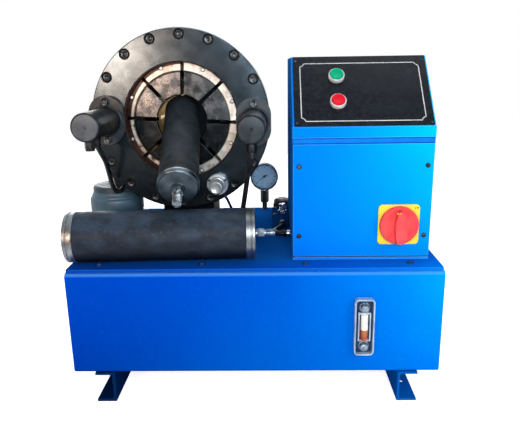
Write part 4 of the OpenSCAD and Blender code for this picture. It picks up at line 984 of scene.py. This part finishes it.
class MakeHead(Operator):
    """Pedestal, barrel and front flange with its socket screws"""

    bl_idname = "crimper.head"
    bl_label = "Head body"

    def execute(self, context):
        edge = sizes().steel_edge / MM
        from_node("head_pedestal", "pedestal", "enamel_pedestal_black", soft=1.5)

        def bead(bm):
            ring = [Vector((-153 + x, 110 + y, 280.6)) for x, y in rounded(115, 142, 2, 3)]
            tube(bm, ring + ring[:1], 2.2, 10)

        build("pedestal_weld", bead, "enamel_pedestal_black", soft=0)
        build("barrel", lambda bm: lathe(bm, [(161.4, 30), (182, 30), (182, 200), (181.2, 204), (178, 208.6),
              (174, 210), (96, 210), (94, 209), (82, 209), (80, 207), (80, 185), (161.4, 185)], None, 160,
              closed=True), "steel_flange", at=head(), soft=edge, stands_for=("head_barrel",))

        def flange(bm):
            lathe(bm, [(118, 2), (120, 0), (183, 0), (185, 2), (185, 28.5), (183.5, 30), (118, 30)], None, 180,
                  closed=True)

        def pockets(bm):
            for a in BOLT_ANGLES:
                x, y = polar(BOLT_CIRCLE, -a)
                lathe(bm, [(0, -2), (9.6, -2), (9.6, 0), (9.4, 0.4), (9.4, 9), (0, 9)], spot(x, y, 0), 40)

        build("flange", flange, "steel_flange", at=head(), soft=edge * 0.7, stands_for=("front_flange",),
              cuts=pockets)
        lug = [(150, 0), (160, 60), (172, 55), (179, 43), (186, 31), (193, 19), (199, 9), (201.6, 4), (202.2, 1),
               (201.4, -2), (199, -3.6), (187, -5), (170, -20)]
        build("flange_lug", lambda bm: prism(bm, lug, 2, 12, spot(rz=-224)), "steel_black", at=head(), soft=1.2)
        build("flange_bore_liner", lambda bm: lathe(bm, [(117.7, 1.6), (118.2, 1.6), (118.2, 29.9), (117.7, 29.9)],
              None, 160, closed=True), "steel_bore_rust", at=head(), soft=0)
        heads = []
        for a in BOLT_ANGLES:
            x, y = polar(BOLT_CIRCLE, -a)
            heads.append((cap_screw(8, 8.2), head(x, y, 9) @ spot(rx=180, rz=7 * a), 36))
        for s in (-1, 1):
            for k in (-1, 1):
                heads.append((cap_screw(8, 9), ram(s, k * 39, -12) @ spot(rx=180, rz=13), 36))
        build("socket_screws", several(heads), "steel_bolt", soft=0.35, stands_for=("flange_bolts",))
        # dark rings in and round the bolt pockets: painted shadow of the pockets
        oil = [([(8.3, 1), (9.3, 1), (9.3, -0.1), (11.2, -0.1), (10.8, -0.16), (9.2, -0.16), (8.3, 0.6)],
                head(*polar(BOLT_CIRCLE, -a)), 36) for a in BOLT_ANGLES]
        build("pocket_shadow_rings", several(oil), "oil_black", soft=0)
        return {"FINISHED"}


class MakePiston(Operator):
    """Ring piston and the two return rods"""

    bl_idname = "crimper.piston"
    bl_label = "Ring piston and rods"

    def execute(self, context):
        build("cone_piston", lambda bm: lathe(bm, [(138, 46), (161.1, 46), (161.1, 60), (160, 61), (160, 64),
              (161.1, 65), (161.1, 150), (159, 152), (108, 152), (106, 150), (106, 126)], None, 160, closed=True),
              "steel_die", "piston", at=head(), soft=0.6, stands_for=("ring_piston",))
        rods = [([(0, -115), (18, -115), (19.6, -113.5), (19.6, -110), (18.6, -109.4), (18.6, -106),
                  (19.6, -105.4), (19.6, -101.5), (18, -100), (8.8, -100), (8.8, 46), (0, 46)],
                 ram(s), 48) for s in (-1, 1)]
        build("pull_rods", several(rods), "steel_turned_bright", "piston", soft=0.3, stands_for=("return_rods",))
        return {"FINISHED"}


class MakeReturnCylinders(Operator):
    """Return cylinders on their oval plates, with port stubs"""

    bl_idname = "crimper.return_cylinders"
    bl_label = "Return cylinders"

    def execute(self, context):
        tubing = [(20, -139), (20, -12), (29.6, -12), (29.6, -14), (28.4, -16.5), (27, -18), (27, -135),
                  (26.2, -136), (26.2, -137.4), (27, -138.4), (27, -153), (26.4, -154.4), (25, -155.2),
                  (24.4, -155), (24.4, -139)]
        face = [(0, -154.0), (1.4, -154.2), (3.0, -155.6), (3.4, -156), (22.4, -156), (23.6, -155.8), (24.3, -155),
                (24.3, -141), (0, -141)]
        for side, steel, end, node in ((-1, "steel_cylinder_left", "steel_end_grey", "return_cyl_left"),
                                       (1, "steel_black", "steel_end_dark", "return_cyl_right")):
            at = ram(side)
            name = "left" if side < 0 else "right"
            build(f"return_cylinder_{name}", lambda bm: lathe(bm, tubing, None, 72, closed=True), steel, at=at,
                  soft=0.3, stands_for=(node,))
            build(f"cylinder_end_{name}", lambda bm: lathe(bm, face, None, 72), end, at=at, soft=0.2)
            stub = [(0, 20), (8.6, 20), (8.6, 28.5), (10, 29.6, 6), (10, 41, 6), (8.6, 42), (8.6, 45), (5.6, 45),
                    (5.2, 43.4), (0, 43.4)]
            x, _, z = at.translation
            ports = [(stub, spot(x, -157, z, rx=180), 36)]
            if side < 0:
                ports.append(([(0, 20), (7.5, 20), (7.5, 33), (0, 33)], spot(x, -112, z, rx=180), 36))
            build(f"port_stub_{name}", several(ports), "steel_black", soft=0.3)

        def plates(bm):
            for s in (-1, 1):
                cx, cy = polar(s * RAM_OFFSET, FLANGE_TURN)
                prism(bm, [(cx + x, cy + y) for x, y in rounded(72, 101, 35.9, 16)], -12, 0)
                lathe(bm, [(27.3, -13.6), (31, -13.6), (33, -12), (27.3, -12)], spot(cx, cy, 0), 72, closed=True)

        build("oval_plates", plates, "steel_bracket", at=head(), soft=2.2, stands_for=("cylinder_brackets",))
        return {"FINISHED"}


class MakeJaws(Operator):
    """The eight sliding shoes with their bright strips, and the eight dies"""

    bl_idname = "crimper.jaws"
    bl_label = "Shoes and dies"

    def execute(self, context):
        # finishes of shoes and dies 1 to 8, counterclockwise from the right as seen from the front
        strips = ("cream", "cream", "copper", "copper", "rusty", "rusty", "oiled", "cream")
        # the upper left dies take a lit copy of the die steel and the lower ones a darker copy: painted light and
        # shade
        dies = ("", "", "_light", "_light", "_dark", "_dark", "_dark", "_dark")
        for k in range(1, 9):
            body = f"jaw_{k}"
            from_node(f"shoe_{k}", f"shoe_and_strip_{k}", f"steel_strip_{strips[k - 1]}", body, 0.7)
            from_node(f"die_{k}", f"die_segment_{k}", "steel_die" + dies[k - 1], body, 1.1)
            # the screws sit 3 degrees off the middle of each shoe
            x, y = polar(112.7, 3 - 45 * (k - 0.5))
            build(f"strip_screw_{k}", several([([(3.2, 2.95), (4.6, 2.95), (4.6, 3.15), (3.6, 3.4), (3.2, 3.3)],
                  head(x, y, 16) @ spot(rx=180), 24)]), "steel_bolt", body, soft=0)
            build(f"strip_screw_dot_{k}", several([([(0, 3.0), (2.8, 3.0), (2.5, 3.3), (0, 3.4)],
                  head(x, y, 16) @ spot(rx=180), 24)]), "steel_bezel", body, soft=0)
        return {"FINISHED"}


class MakeSensor(Operator):
    """Flanged sensor and its cable"""

    bl_idname = "crimper.sensor"
    bl_label = "Sensor and cable"

    def execute(self, context):
        at = front(*SENSOR)
        build("sensor_body", lambda bm: lathe(bm, [(0, 0), (22.5, 0), (22.5, 12.6), (21, 14), (17.6, 14), (16.6, 14.8),
              (16.2, 18), (15.4, 19), (14, 19.4), (13.5, 20.4), (13.5, 46.8), (12.4, 49.2), (10.8, 50), (9.4, 49.2),
              (3, 48.8), (0, 48.6)]), "aluminium_satin", at=at, soft=0.2, stands_for=("sensor",))
        parts = [(cap_screw(2.7, 2.8), spot(rz=a) @ spot(19.2, 0, 13.6), 18) for a in (30, 150, 270)]
        parts.append((hexagon(5.6, 20, 24.5), spot(0, 0, 7, rz=-60) @ spot(ry=90), 18))
        build("sensor_fixings", several([(p, at @ m, n) for p, m, n in parts]), "steel_bolt", soft=0.2)
        grip = [(0, 24), (4.4, 24), (4.4, 25), (3.8, 25.3), (3.8, 26), (4.2, 26.3), (4.0, 27), (3.4, 27.3), (3.6, 28),
                (3.3, 28.5), (0, 28.5)]
        build("cable_grip", several([(grip, at @ spot(0, 0, 7, rz=-60) @ spot(ry=90), 24)]), "nylon_black", soft=0)
        route = [(-65.75, -30, 363.32), (-63.25, -30, 358.99), (-60, -29, 353), (-57, -23, 343), (-54, -13, 332),
                 (-51, 0, 318), (-49, 12, 306), (-47, 22, 297), (-46, 28, 290)]
        route += [(*CABLE_GLAND, z) for z in (286, 283, 280)]
        build("sensor_lead", lambda bm: tube(bm, smooth(route, 5), 3.0, 16), "pvc_cable_blue", soft=0,
              stands_for=("sensor_cable",))
        return {"FINISHED"}


class MakeLines(Operator):
    """Flexible pressure lines with their crimped ends"""

    bl_idname = "crimper.lines"
    bl_label = "Pressure lines"

    def execute(self, context):
        top, other = ram(-1).translation, ram(1).translation
        left = [(top.x, -112, top.z - 33), (top.x, -112, top.z - 39), (-303.5, -110, 479), (-300.5, -101, 465),
                (-298.5, -88, 450), (-299, -76, 436), (-300, -64, 421), (-301, -53, 406), (-301, -44, 391.5),
                (-300, -36.5, 381), (-297, -29.5, 375.3), (-292.5, -21, 373.5), (-289.5, -11, 376),
                (-288, 1, 383.5), (-287, 15, 387), (-287, 30, 388), (-287, 60, 388), (-287, 90, 387),
                (-287, 114, 378), (-287, 127, 358), (-287, 131, 332)]
        left += [(*LEFT_UNION, z) for z in (306, 294, 282)]
        right = [(other.x, -157, other.z - 45), (other.x, -157, other.z - 49), (-2, -156, 463), (-5, -148, 452),
                 (-8, -138, 439), (-12, -128, 422), (-15, -120, 404), (-18, -114, 386), (-21, -109, 368),
                 (-24, -104, 350), (-25, -97, 332), (-25, -90, 315), (-25, -86, 302)]
        right += [(*RIGHT_UNION, z) for z in (292, 287, 282)]
        x, z = BLOCK_PORT
        short = [(x, 23, z), (x, 20, z), (x, 17, z), (57, 10, 285.6), (53, 2, 284.5), (47, -6, 283), (42, -14, 281),
                 (41, -22, 279.8), (45, -29, 279), (52, -32, 279), (59, -32, 279), BOX_PORT]
        sleeve = [(5.05, 0), (6.6, 0), (7, 0.8), (7, 3), (6.4, 3.4), (6.4, 6), (7, 6.4), (7, 9), (6.2, 10), (5.05, 10)]
        ends = []
        for name, node, route in (("pressure_hose_left", "pressure_line_left", left),
                                  ("pressure_hose_right", "pressure_line_right", right),
                                  ("short_hose", "valve_line", short)):
            build(name, lambda bm: tube(bm, smooth(route, 5), 5.0, 20), "rubber_line", soft=0, stands_for=(node,))
            for first, second in ((route[0], route[1]), (route[-1], route[-2])):
                way = (Vector(second) - Vector(first)).normalized()
                turn = way.to_track_quat("Z", "Y").to_matrix().to_4x4()
                ends.append((sleeve, Matrix.Translation(Vector(first)) @ turn, 24))
        build("hose_sleeves", several(ends), "steel_black", soft=0.2)
        return {"FINISHED"}


class MakeValves(Operator):
    """Valve block with its unions and plugs"""

    bl_idname = "crimper.valves"
    bl_label = "Valve block"

    def execute(self, context):
        x, z = BLOCK_PORT
        top = 302
        build("valve_body", lambda bm: block(bm, (34, 70), (35, 111), (COVER_TOP, top)), "enamel_block_blue",
              soft=1.4, stands_for=("valve_block",))
        at, crown = front(x, 35, z), spot(x, 50, top)
        stub = [(0, 7.5), (7, 7.5)] + thread(8, 11.4, 7, 1.2, 0.5) + [(6, 12), (0, 12)]
        cap = [(0, 16.6), (7.4, 16.6), (8.5, 17.6, 6), (8.5, 22.4, 6), (7.2, 23.4), (5.4, 24), (4, 23.4), (0, 23.2)]
        fittings = [(hexagon(9, 0, 8), at, 36), (stub, at, 36), (hexagon(10, 0, 9), crown, 36), (cap, crown, 36),
                    ([(0, 8.6), (7, 8.6)] + thread(9, 16.6, 7, 1.8, 0.7) + [(0, 17)], crown, 36),
                    (hexagon(9, 0, 10), spot(*LEFT_UNION, COVER_TOP), 36),
                    (hexagon(9, 0, 10), spot(*RIGHT_UNION, COVER_TOP), 36),
                    ([(0, 0), (6, 0), (6, 5), (5, 8), (0, 8)], spot(*CABLE_GLAND, COVER_TOP), 36),
                    ([(0, 0), (7, 0), (7, 7), (0, 7)], spot(*BOX_PORT, ry=90), 36)]
        build("unions", several(fittings), "zinc_bright", soft=0.25, stands_for=("valve_fittings",))
        plugs = [(cap_screw(4.4, 2.6), spot(*place, top - 0.4), 24) for place in ((40, 42), (40, 104), (64, 104))]
        build("valve_plugs", several(plugs), "steel_bolt", soft=0.2)
        return {"FINISHED"}


class MakeGauge(Operator):
    """Pressure gauge with dial, needle and glass on its hexagon stem"""

    bl_idname = "crimper.gauge"
    bl_label = "Pressure gauge"

    def execute(self, context):
        at = front(*PRESSURE_GAUGE)

        def case(bm):
            lathe(bm, [(0, -14.6), (30, -14.6), (33, -13), (33.8, -11), (33.8, 8.2), (34.8, 9), (35, 10.4), (35, 13),
                       (34.4, 13.8), (32, 13.8), (31.2, 13), (31, 2), (0, 2)], None, 96)

        build("gauge_housing", case, "steel_black", at=at, soft=0.2, stands_for=("gauge_case",))
        build("gauge_bezel", lambda bm: lathe(bm, [(30.2, 10.7), (33.0, 14.7), (33.8, 15), (34.4, 14.6), (34.5, 13.7),
              (32, 13.7)], None, 96, closed=True), "zinc_bright", at=at, soft=0)
        stem = [(0, 266), (5, 266), (5, 272), (9, 272), (9, 274), (6.5, 275)] + thread(276, 289, 6.5, 1.8, 0.5)
        stem += [(9.6, 290), (11, 292, 6), (11, 319, 6), (9.5, 321.5), (7.5, 322), (7.5, 325), (0, 325)]
        build("gauge_stem", several([(stem, spot(*PRESSURE_GAUGE[:2]), 36)]), "steel_black", soft=0)
        build("gauge_dial", lambda bm: lathe(bm, [(0, 2.0), (30.9, 2.0), (30.9, 2.4), (0, 2.4)], None, 72),
              "dial_enamel", at=at, soft=0)

        def scale(bm):
            # 30 steps over 270 degrees, every fifth mark long
            for k in range(31):
                inner, half = (24.8, 0.25) if k % 5 else (22.6, 0.5)
                block(bm, (inner, 27.6), (-half, half), (2.4, 2.55), spot(rz=-45 + 9 * k))
            lathe(bm, [(27.8, 2.4), (28.3, 2.4), (28.3, 2.55), (27.8, 2.55)], None, 72, closed=True)

        build("gauge_scale", scale, "print_black", at=at, soft=0)
        reach = sizes().needle / MM

        def needle(bm):
            lathe(bm, [(0, 4), (3.4, 4), (3.4, 5.6), (2.6, 6.4), (0, 6.6)], None, 24)
            prism(bm, [(-7, -1.3), (-5, -1.6), (0, -1.1), (reach, -0.35), (reach, 0.35), (0, 1.1), (-5, 1.6),
                       (-7, 1.3)], 4.6, 5.6, spot(rz=217))

        build("gauge_pointer", needle, "print_black", "needle", at=at, soft=0.1, stands_for=("gauge_needle",))
        build("gauge_window", lambda bm: lathe(bm, [(0, 8), (30.9, 8), (30.9, 9.6), (20, 10.2), (0, 10.5)], None, 72),
              "glass_clear", at=at, soft=0, stands_for=("gauge_glass",))
        return {"FINISHED"}


class MakeControlBox(Operator):
    """Folded control cabinet, its front plate, screws and the sloped panel"""

    bl_idname = "crimper.control_box"
    bl_label = "Control box"

    def execute(self, context):
        edge = sizes().sheet_edge / MM
        side = spot(rx=90, rz=90)
        y0, y1 = BOX_Y
        run = y0 + SLOPE_RUN

        def cabinet(bm):
            prism(bm, [(y0, COVER_TOP), (y0, FOLD_Z), (run, BOX_TOP), (y1, BOX_TOP), (y1, COVER_TOP)], *BOX_X, side)

        build("cabinet", cabinet, "enamel_azure", soft=edge * 1.4, stands_for=("box_shell",))
        hood = [(y0 - 1.5, 502), (y0 - 1.5, 519), (y0 - 1.1, 521.2), (y0 + 0.3, 522.2), (y0 + 0.3, 502)]
        build("cabinet_hood", lambda bm: prism(bm, hood, *BOX_X, side), "enamel_azure", soft=0.5)
        # the band under the hood is darker as painted shade, and its edges are painted shadow lines
        build("cabinet_seam", lambda bm: block(bm, (74, 329), (y0 - 0.5, y0), (491, 502)), "enamel_seam_blue", soft=0)

        def seam_shadow_lines(bm):
            for z in (491, 500.2):
                block(bm, (74, 329), (y0 - 0.7, y0 - 0.4), (z, z + 1.8))

        build("cabinet_seam_shadow_lines", seam_shadow_lines, "enamel_seam_dark", soft=0)
        # a dark strip at the cabinet's foot stands in for the shade in the gap there
        build("cabinet_foot_shadow_strip", lambda bm: block(bm, (74, 329), (y0 - 0.8, y0), (276.8, 279.4)), "rubber_gasket",
              soft=0)
        build("cabinet_foot_strip", lambda bm: block(bm, (74, 329), (y0 - 1.2, y0), (272.2, 276.8)), "enamel_azure",
              soft=0.4)
        build("front_plate", lambda bm: prism(bm, rounded(255, 212, 3, 6, (BOX_MID, 385)), 188.5, 191.5, spot(rx=90)),
              "enamel_azure", soft=0.9, stands_for=("box_cover",))
        heads = [([(0, 0), (4.6, 0), (4.4, 1.2), (3.4, 2.4), (2.2, 2.9), (2, 2.9, 6), (2, 1.4, 6), (0, 1.4)],
                  front(BOX_MID + x, y0 - 3, z), 24) for x in (-116.5, 116.5) for z in (319.5, 451)]
        heads += [([(0, 0), (2.4, 0), (2.2, 0.8), (1.3, 1.3), (0, 1.4)], slope(BOX_MID + x, s, 3), 18)
                  for x in (-120, 120) for s in (5, 149)]
        build("cabinet_screws", several(heads), "steel_bolt", soft=0, stands_for=("box_screws",))

        def plate(bm):
            prism(bm, rounded(250, 161, 2, 4, (BOX_MID, 81)), 0, 3)

        build("panel", plate, "anodised_panel_black", at=slope(0, 0), soft=0.5, stands_for=("panel_plate",))
        width = sizes().plate_line / MM

        def border(bm):
            low, high, left, right, cut = 10, 144, 89.8, 312.2, 8
            outer = []
            for x, y in ((right, low), (right, high), (left, high), (left, low)):
                in_x, in_y = cut if x == left else -cut, cut if y == low else -cut
                corner = [(x + in_x, y), (x + in_x * 0.62, y + in_y * 0.62), (x, y + in_y)]
                # the outline runs along the bottom into the first and third corners
                outer += corner if (x == right) == (y == low) else corner[::-1]
            for k in range(len(outer)):
                a, b = Vector(outer[k]), Vector(outer[(k + 1) % len(outer)])
                way = (b - a).normalized() * width * 0.4
                off = Vector((-way.y, way.x)).normalized() * width / 2
                prism(bm, [tuple(a - way + off), tuple(a - way - off), tuple(b + way - off), tuple(b + way + off)],
                      3.0, 3.12)

        build("panel_border", border, "screen_print_grey", at=slope(0, 0), soft=0)
        return {"FINISHED"}


class MakeButtons(Operator):
    """Green and red push buttons in their rings"""

    bl_idname = "crimper.buttons"
    bl_label = "Push buttons"

    def execute(self, context):
        ring = [(10.8, -20), (11.1, -20), (11.1, 2.9), (14.6, 2.9), (15, 4.2), (15, 9.6), (14.4, 11.2), (13.7, 12),
                (13.1, 11.8), (12.9, 11), (12.9, 7), (10.8, 7)]
        build("button_rings", lambda bm: [lathe(bm, ring, slope(BUTTON_X, s), 60, closed=True)
                                          for s in (START_S, STOP_S)], "steel_bezel", soft=0.2,
              stands_for=("button_bezels",))
        cap = [(0, -16), (6, -16), (6, -3), (10.5, -3), (10.5, 10.3), (12.3, 10.4), (12.6, 10.8), (12.6, 12.6),
               (12.1, 13.6), (11, 14), (10, 14), (9, 13.6), (0, 13.4)]
        for name, colour, s, body, node in (("start_cap", "abs_green", START_S, "start_button", "green_button"),
                                            ("stop_cap", "abs_red", STOP_S, "stop_button", "red_button")):
            build(name, lambda bm: lathe(bm, cap, None, 48), colour, body, at=slope(BUTTON_X, s), soft=0.2,
                  stands_for=(node,))
        return {"FINISHED"}


class MakeMainSwitch(Operator):
    """Yellow plate and red knob of the main switch"""

    bl_idname = "crimper.main_switch"
    bl_label = "Main switch"

    def execute(self, context):
        x, z = SWITCH
        at = front(x, BOX_Y[0] - 3, z)

        def plate(bm):
            prism(bm, rounded(76, 76, 8), 0, 2.4)
            prism(bm, rounded(73, 73, 7), 2.3, 3)

        build("switch_face", plate, "abs_yellow", at=at, soft=0.4, stands_for=("switch_plate",))

        def marks(bm):
            block(bm, (29.0, 30.0), (29.5, 33.5), (3, 3.12))
            lathe(bm, [(1.3, 3), (2.1, 3), (2.1, 3.12), (1.3, 3.12)], spot(33.6, 31.5, 0), 24, closed=True)

        build("switch_marks", marks, "print_black", at=at, soft=0)
        knob_at = front(x, BOX_Y[0] - 6.4, z)

        def knob(bm):
            lathe(bm, [(0, -16), (4, -16), (4, 0), (35, 0), (36, 1), (36, 6.4), (35.2, 8.2), (33.4, 9.6), (31.6, 10.2),
                       (30.6, 9.4), (28, 9.0), (0, 9.0)], None, 96)
            grip = [(-6.5, -30.5), (-3, -31.5), (2, -31.5), (6.5, -30), (10.5, -24), (11.5, -10), (10.5, 6), (8.6, 18),
                    (6, 27.5), (1.5, 31), (-3, 30), (-6, 25), (-9, 13), (-10.4, 0), (-9.4, -16)]
            prism(bm, grip, 8.6, 24)

        build("switch_grip", knob, "abs_knob_red", "main_switch", at=knob_at, soft=1.6, stands_for=("switch_knob",))

        def pointer(bm):
            block(bm, (-8.9, -5.9), (25.4, 28.4), (23.9, 24.1))
            block(bm, (-4.5, -1.5), (25.0, 28.0), (23.9, 24.1))

        build("switch_pointer", pointer, "abs_orange_mark", "main_switch", at=knob_at, soft=0)
        return {"FINISHED"}


class MakeLyingHose(Operator):
    """Hose assembly that lies on the tank cover"""

    bl_idname = "crimper.lying_hose"
    bl_label = "Lying hose assembly"

    def execute(self, context):
        at = spot(-353, -187.3, 320.4, ry=90, rz=2.7)
        r, length = 48.3, 357.0
        build("lying_hose_cover", lambda bm: lathe(bm, [(39.3, 18.6), (r - 1, 18.6), (r, 20), (r, length - 20),
              (r - 1, length - 18.6), (39.3, length - 18.6)], None, 128, closed=True), "rubber_lying_hose", at=at,
              soft=0, stands_for=("hose_a_cover",))
        end = [(0, 0), (8, 0), (9, 0.4), (44.6, 0.4), (47, 1.2), (r, 2.4), (r, 6.8), (r - 0.4, 7.4), (r - 1.6, 7.9),
               (r - 1.6, 9.1), (r - 0.4, 9.6), (r, 10.2), (r, 18.2), (r - 0.7, 19), (39.3, 19), (39.3, 45), (0, 45)]

        def ends(bm):
            lathe(bm, end, None, 128)
            lathe(bm, end, spot(0, 0, length, rx=180), 128)

        build("lying_hose_ends", ends, "steel_turned_bright", at=at, soft=0.15, stands_for=("hose_a_ends",))

        def nipple(bm):
            lathe(bm, [(0, -0.5), (7, -0.5), (7, 2.4)] + hexagon(9, 2.5, 16.5)[1:-1]
                  + [(5.5, 16.6), (5.5, 19.6), (7.2, 20)] + thread(20.4, 35, 7.5, 1.8, 0.7)
                  + [(6.4, 36.4), (4.6, 37), (4.2, 35), (0, 35)], None, 36)

        build("lying_hose_nipple", nipple, "zinc_dull", at=at @ spot(0, 0, length), soft=0,
              stands_for=("hose_a_adapter",))
        return {"FINISHED"}


class MakeHeldHose(Operator):
    """Hose assembly held in the dies"""

    bl_idname = "crimper.held_hose"
    bl_label = "Held hose assembly"

    def execute(self, context):
        at = spot(-157.4, 43.2, 537.3, rx=116, rz=5)
        r, length = 38.0, 276.0
        neck = length - 14
        build("held_hose_cover", lambda bm: lathe(bm, [(30, 0), (r - 0.8, 0), (r, 1), (r, 150), (r - 0.3, 152),
              (r, 154), (r, neck - 0.2), (30, neck - 0.2)], None, 112, closed=True), "rubber_held_hose", "held_hose",
              at=at, soft=0, stands_for=("hose_b_cover",))

        def ends(bm):
            lathe(bm, [(0, 1), (30, 1), (30, 21), (0, 21)], None, 96)
            lathe(bm, [(0, neck - 20), (30, neck - 20), (30, neck), (r + 0.4, neck), (r + 0.8, neck + 0.8),
                       (r + 0.8, length - 4), (r + 0.2, length - 2.4), (r - 1.6, length - 1.2),
                       (r - 2.4, length - 0.2), (r - 4, length), (13.4, length + 2.2), (12.6, length + 3),
                       (12, length + 5.4), (0, length + 6)], None, 112)

        build("held_hose_ends", ends, "steel_turned_dark", "held_hose", at=at, soft=0.2, stands_for=("hose_b_ends",))
        rim = [(r + 0.7, neck + 1.6), (r + 0.95, neck + 1.8), (r + 0.95, neck + 4.4), (r + 0.7, neck + 4.6)]
        build("held_hose_rim", lambda bm: lathe(bm, rim, None, 112, closed=True), "steel_turned_bright", "held_hose",
              at=at, soft=0)

        def union(bm):
            lathe(bm, [(0, 4.6)] + hexagon(11, 5, 18)[1:-1] + [(7.5, 18.2), (7.5, 25.6), (8.6, 26)]
                  + thread(26.6, 45, 9, 2.0, 0.8) + [(7.8, 47), (6, 48), (5.4, 46), (0, 45.6)], None, 48)

        build("held_hose_union", union, "zinc_plate", "held_hose", at=at @ spot(0, 0, length), soft=0)
        return {"FINISHED"}


class MakeStage(Operator):
    """Floor, world, lights and camera"""

    bl_idname = "crimper.stage"
    bl_label = "Stage"

    def execute(self, context):
        context.scene.view_settings.view_transform = "Standard"
        lay_floor()
        light_dome(context.scene)
        hang_softbox("key_softbox", look().key, (0.9, 0.9), (1.3, -1.3, 0.95), (0.1, -0.1, 0.35))
        hang_softbox("window_softbox", look().fill, (0.22, 0.22), (-0.71, -1.6, 0.69), (-0.25, 0, 0.62), "#ffd0b0")
        hang_softbox("front_softbox", 14.0, (0.5, 0.5), (0.24, -1.75, 0.85), (0.05, 0, 0.35))
        hang_softbox("top_softbox", 10.0, (1.6, 0.9), (0.1, 0.3, 2.1), (0, 0, 0.3))
        hang_softbox("rear_softbox", 14.0, (1.4, 1.0), (-0.6, 1.7, 1.1), (0, 0.1, 0.35))
        set_bore_card()
        aim_camera(context.scene)
        return {"FINISHED"}


MAKERS = (MakeStage, MakeTank, MakeLevelGauge, MakeFillerCap, MakeMotor, MakeHead, MakePiston, MakeReturnCylinders,
          MakeJaws, MakeSensor, MakeLines, MakeValves, MakeGauge, MakeControlBox, MakeButtons, MakeMainSwitch,
          MakeLyingHose, MakeHeldHose)


class CrimperPanel(Panel):
    """Sizes, colours and one button for each group of pieces"""

    bl_idname = "VIEW3D_PT_crimper"
    bl_label = "Hose Crimping Machine"
    bl_space_type = "VIEW_3D"
    bl_region_type = "UI"
    bl_category = "Crimper"

    def draw(self, context):
        for group in (context.scene.crimper_sizes, context.scene.crimper_look):
            for key in group.__annotations__:
                self.layout.prop(group, key)
        for maker in MAKERS:
            self.layout.operator(maker.bl_idname)


CLASSES = (CrimperSizes, CrimperLook, *MAKERS, CrimperPanel)


def register():
    for cls in CLASSES:
        bpy.utils.register_class(cls)
    bpy.types.Scene.crimper_sizes = PointerProperty(type=CrimperSizes)
    bpy.types.Scene.crimper_look = PointerProperty(type=CrimperLook)


def unregister():
    del bpy.types.Scene.crimper_look
    del bpy.types.Scene.crimper_sizes
    for cls in reversed(CLASSES):
        bpy.utils.unregister_class(cls)


def main():
    """Builds everything in order."""
    register()
    for maker in MAKERS:
        group, name = maker.bl_idname.split(".")
        if getattr(getattr(bpy.ops, group), name)() != {"FINISHED"}:
            raise RuntimeError(f"{maker.bl_label} was not made")


if __name__ == "__main__":
    main()
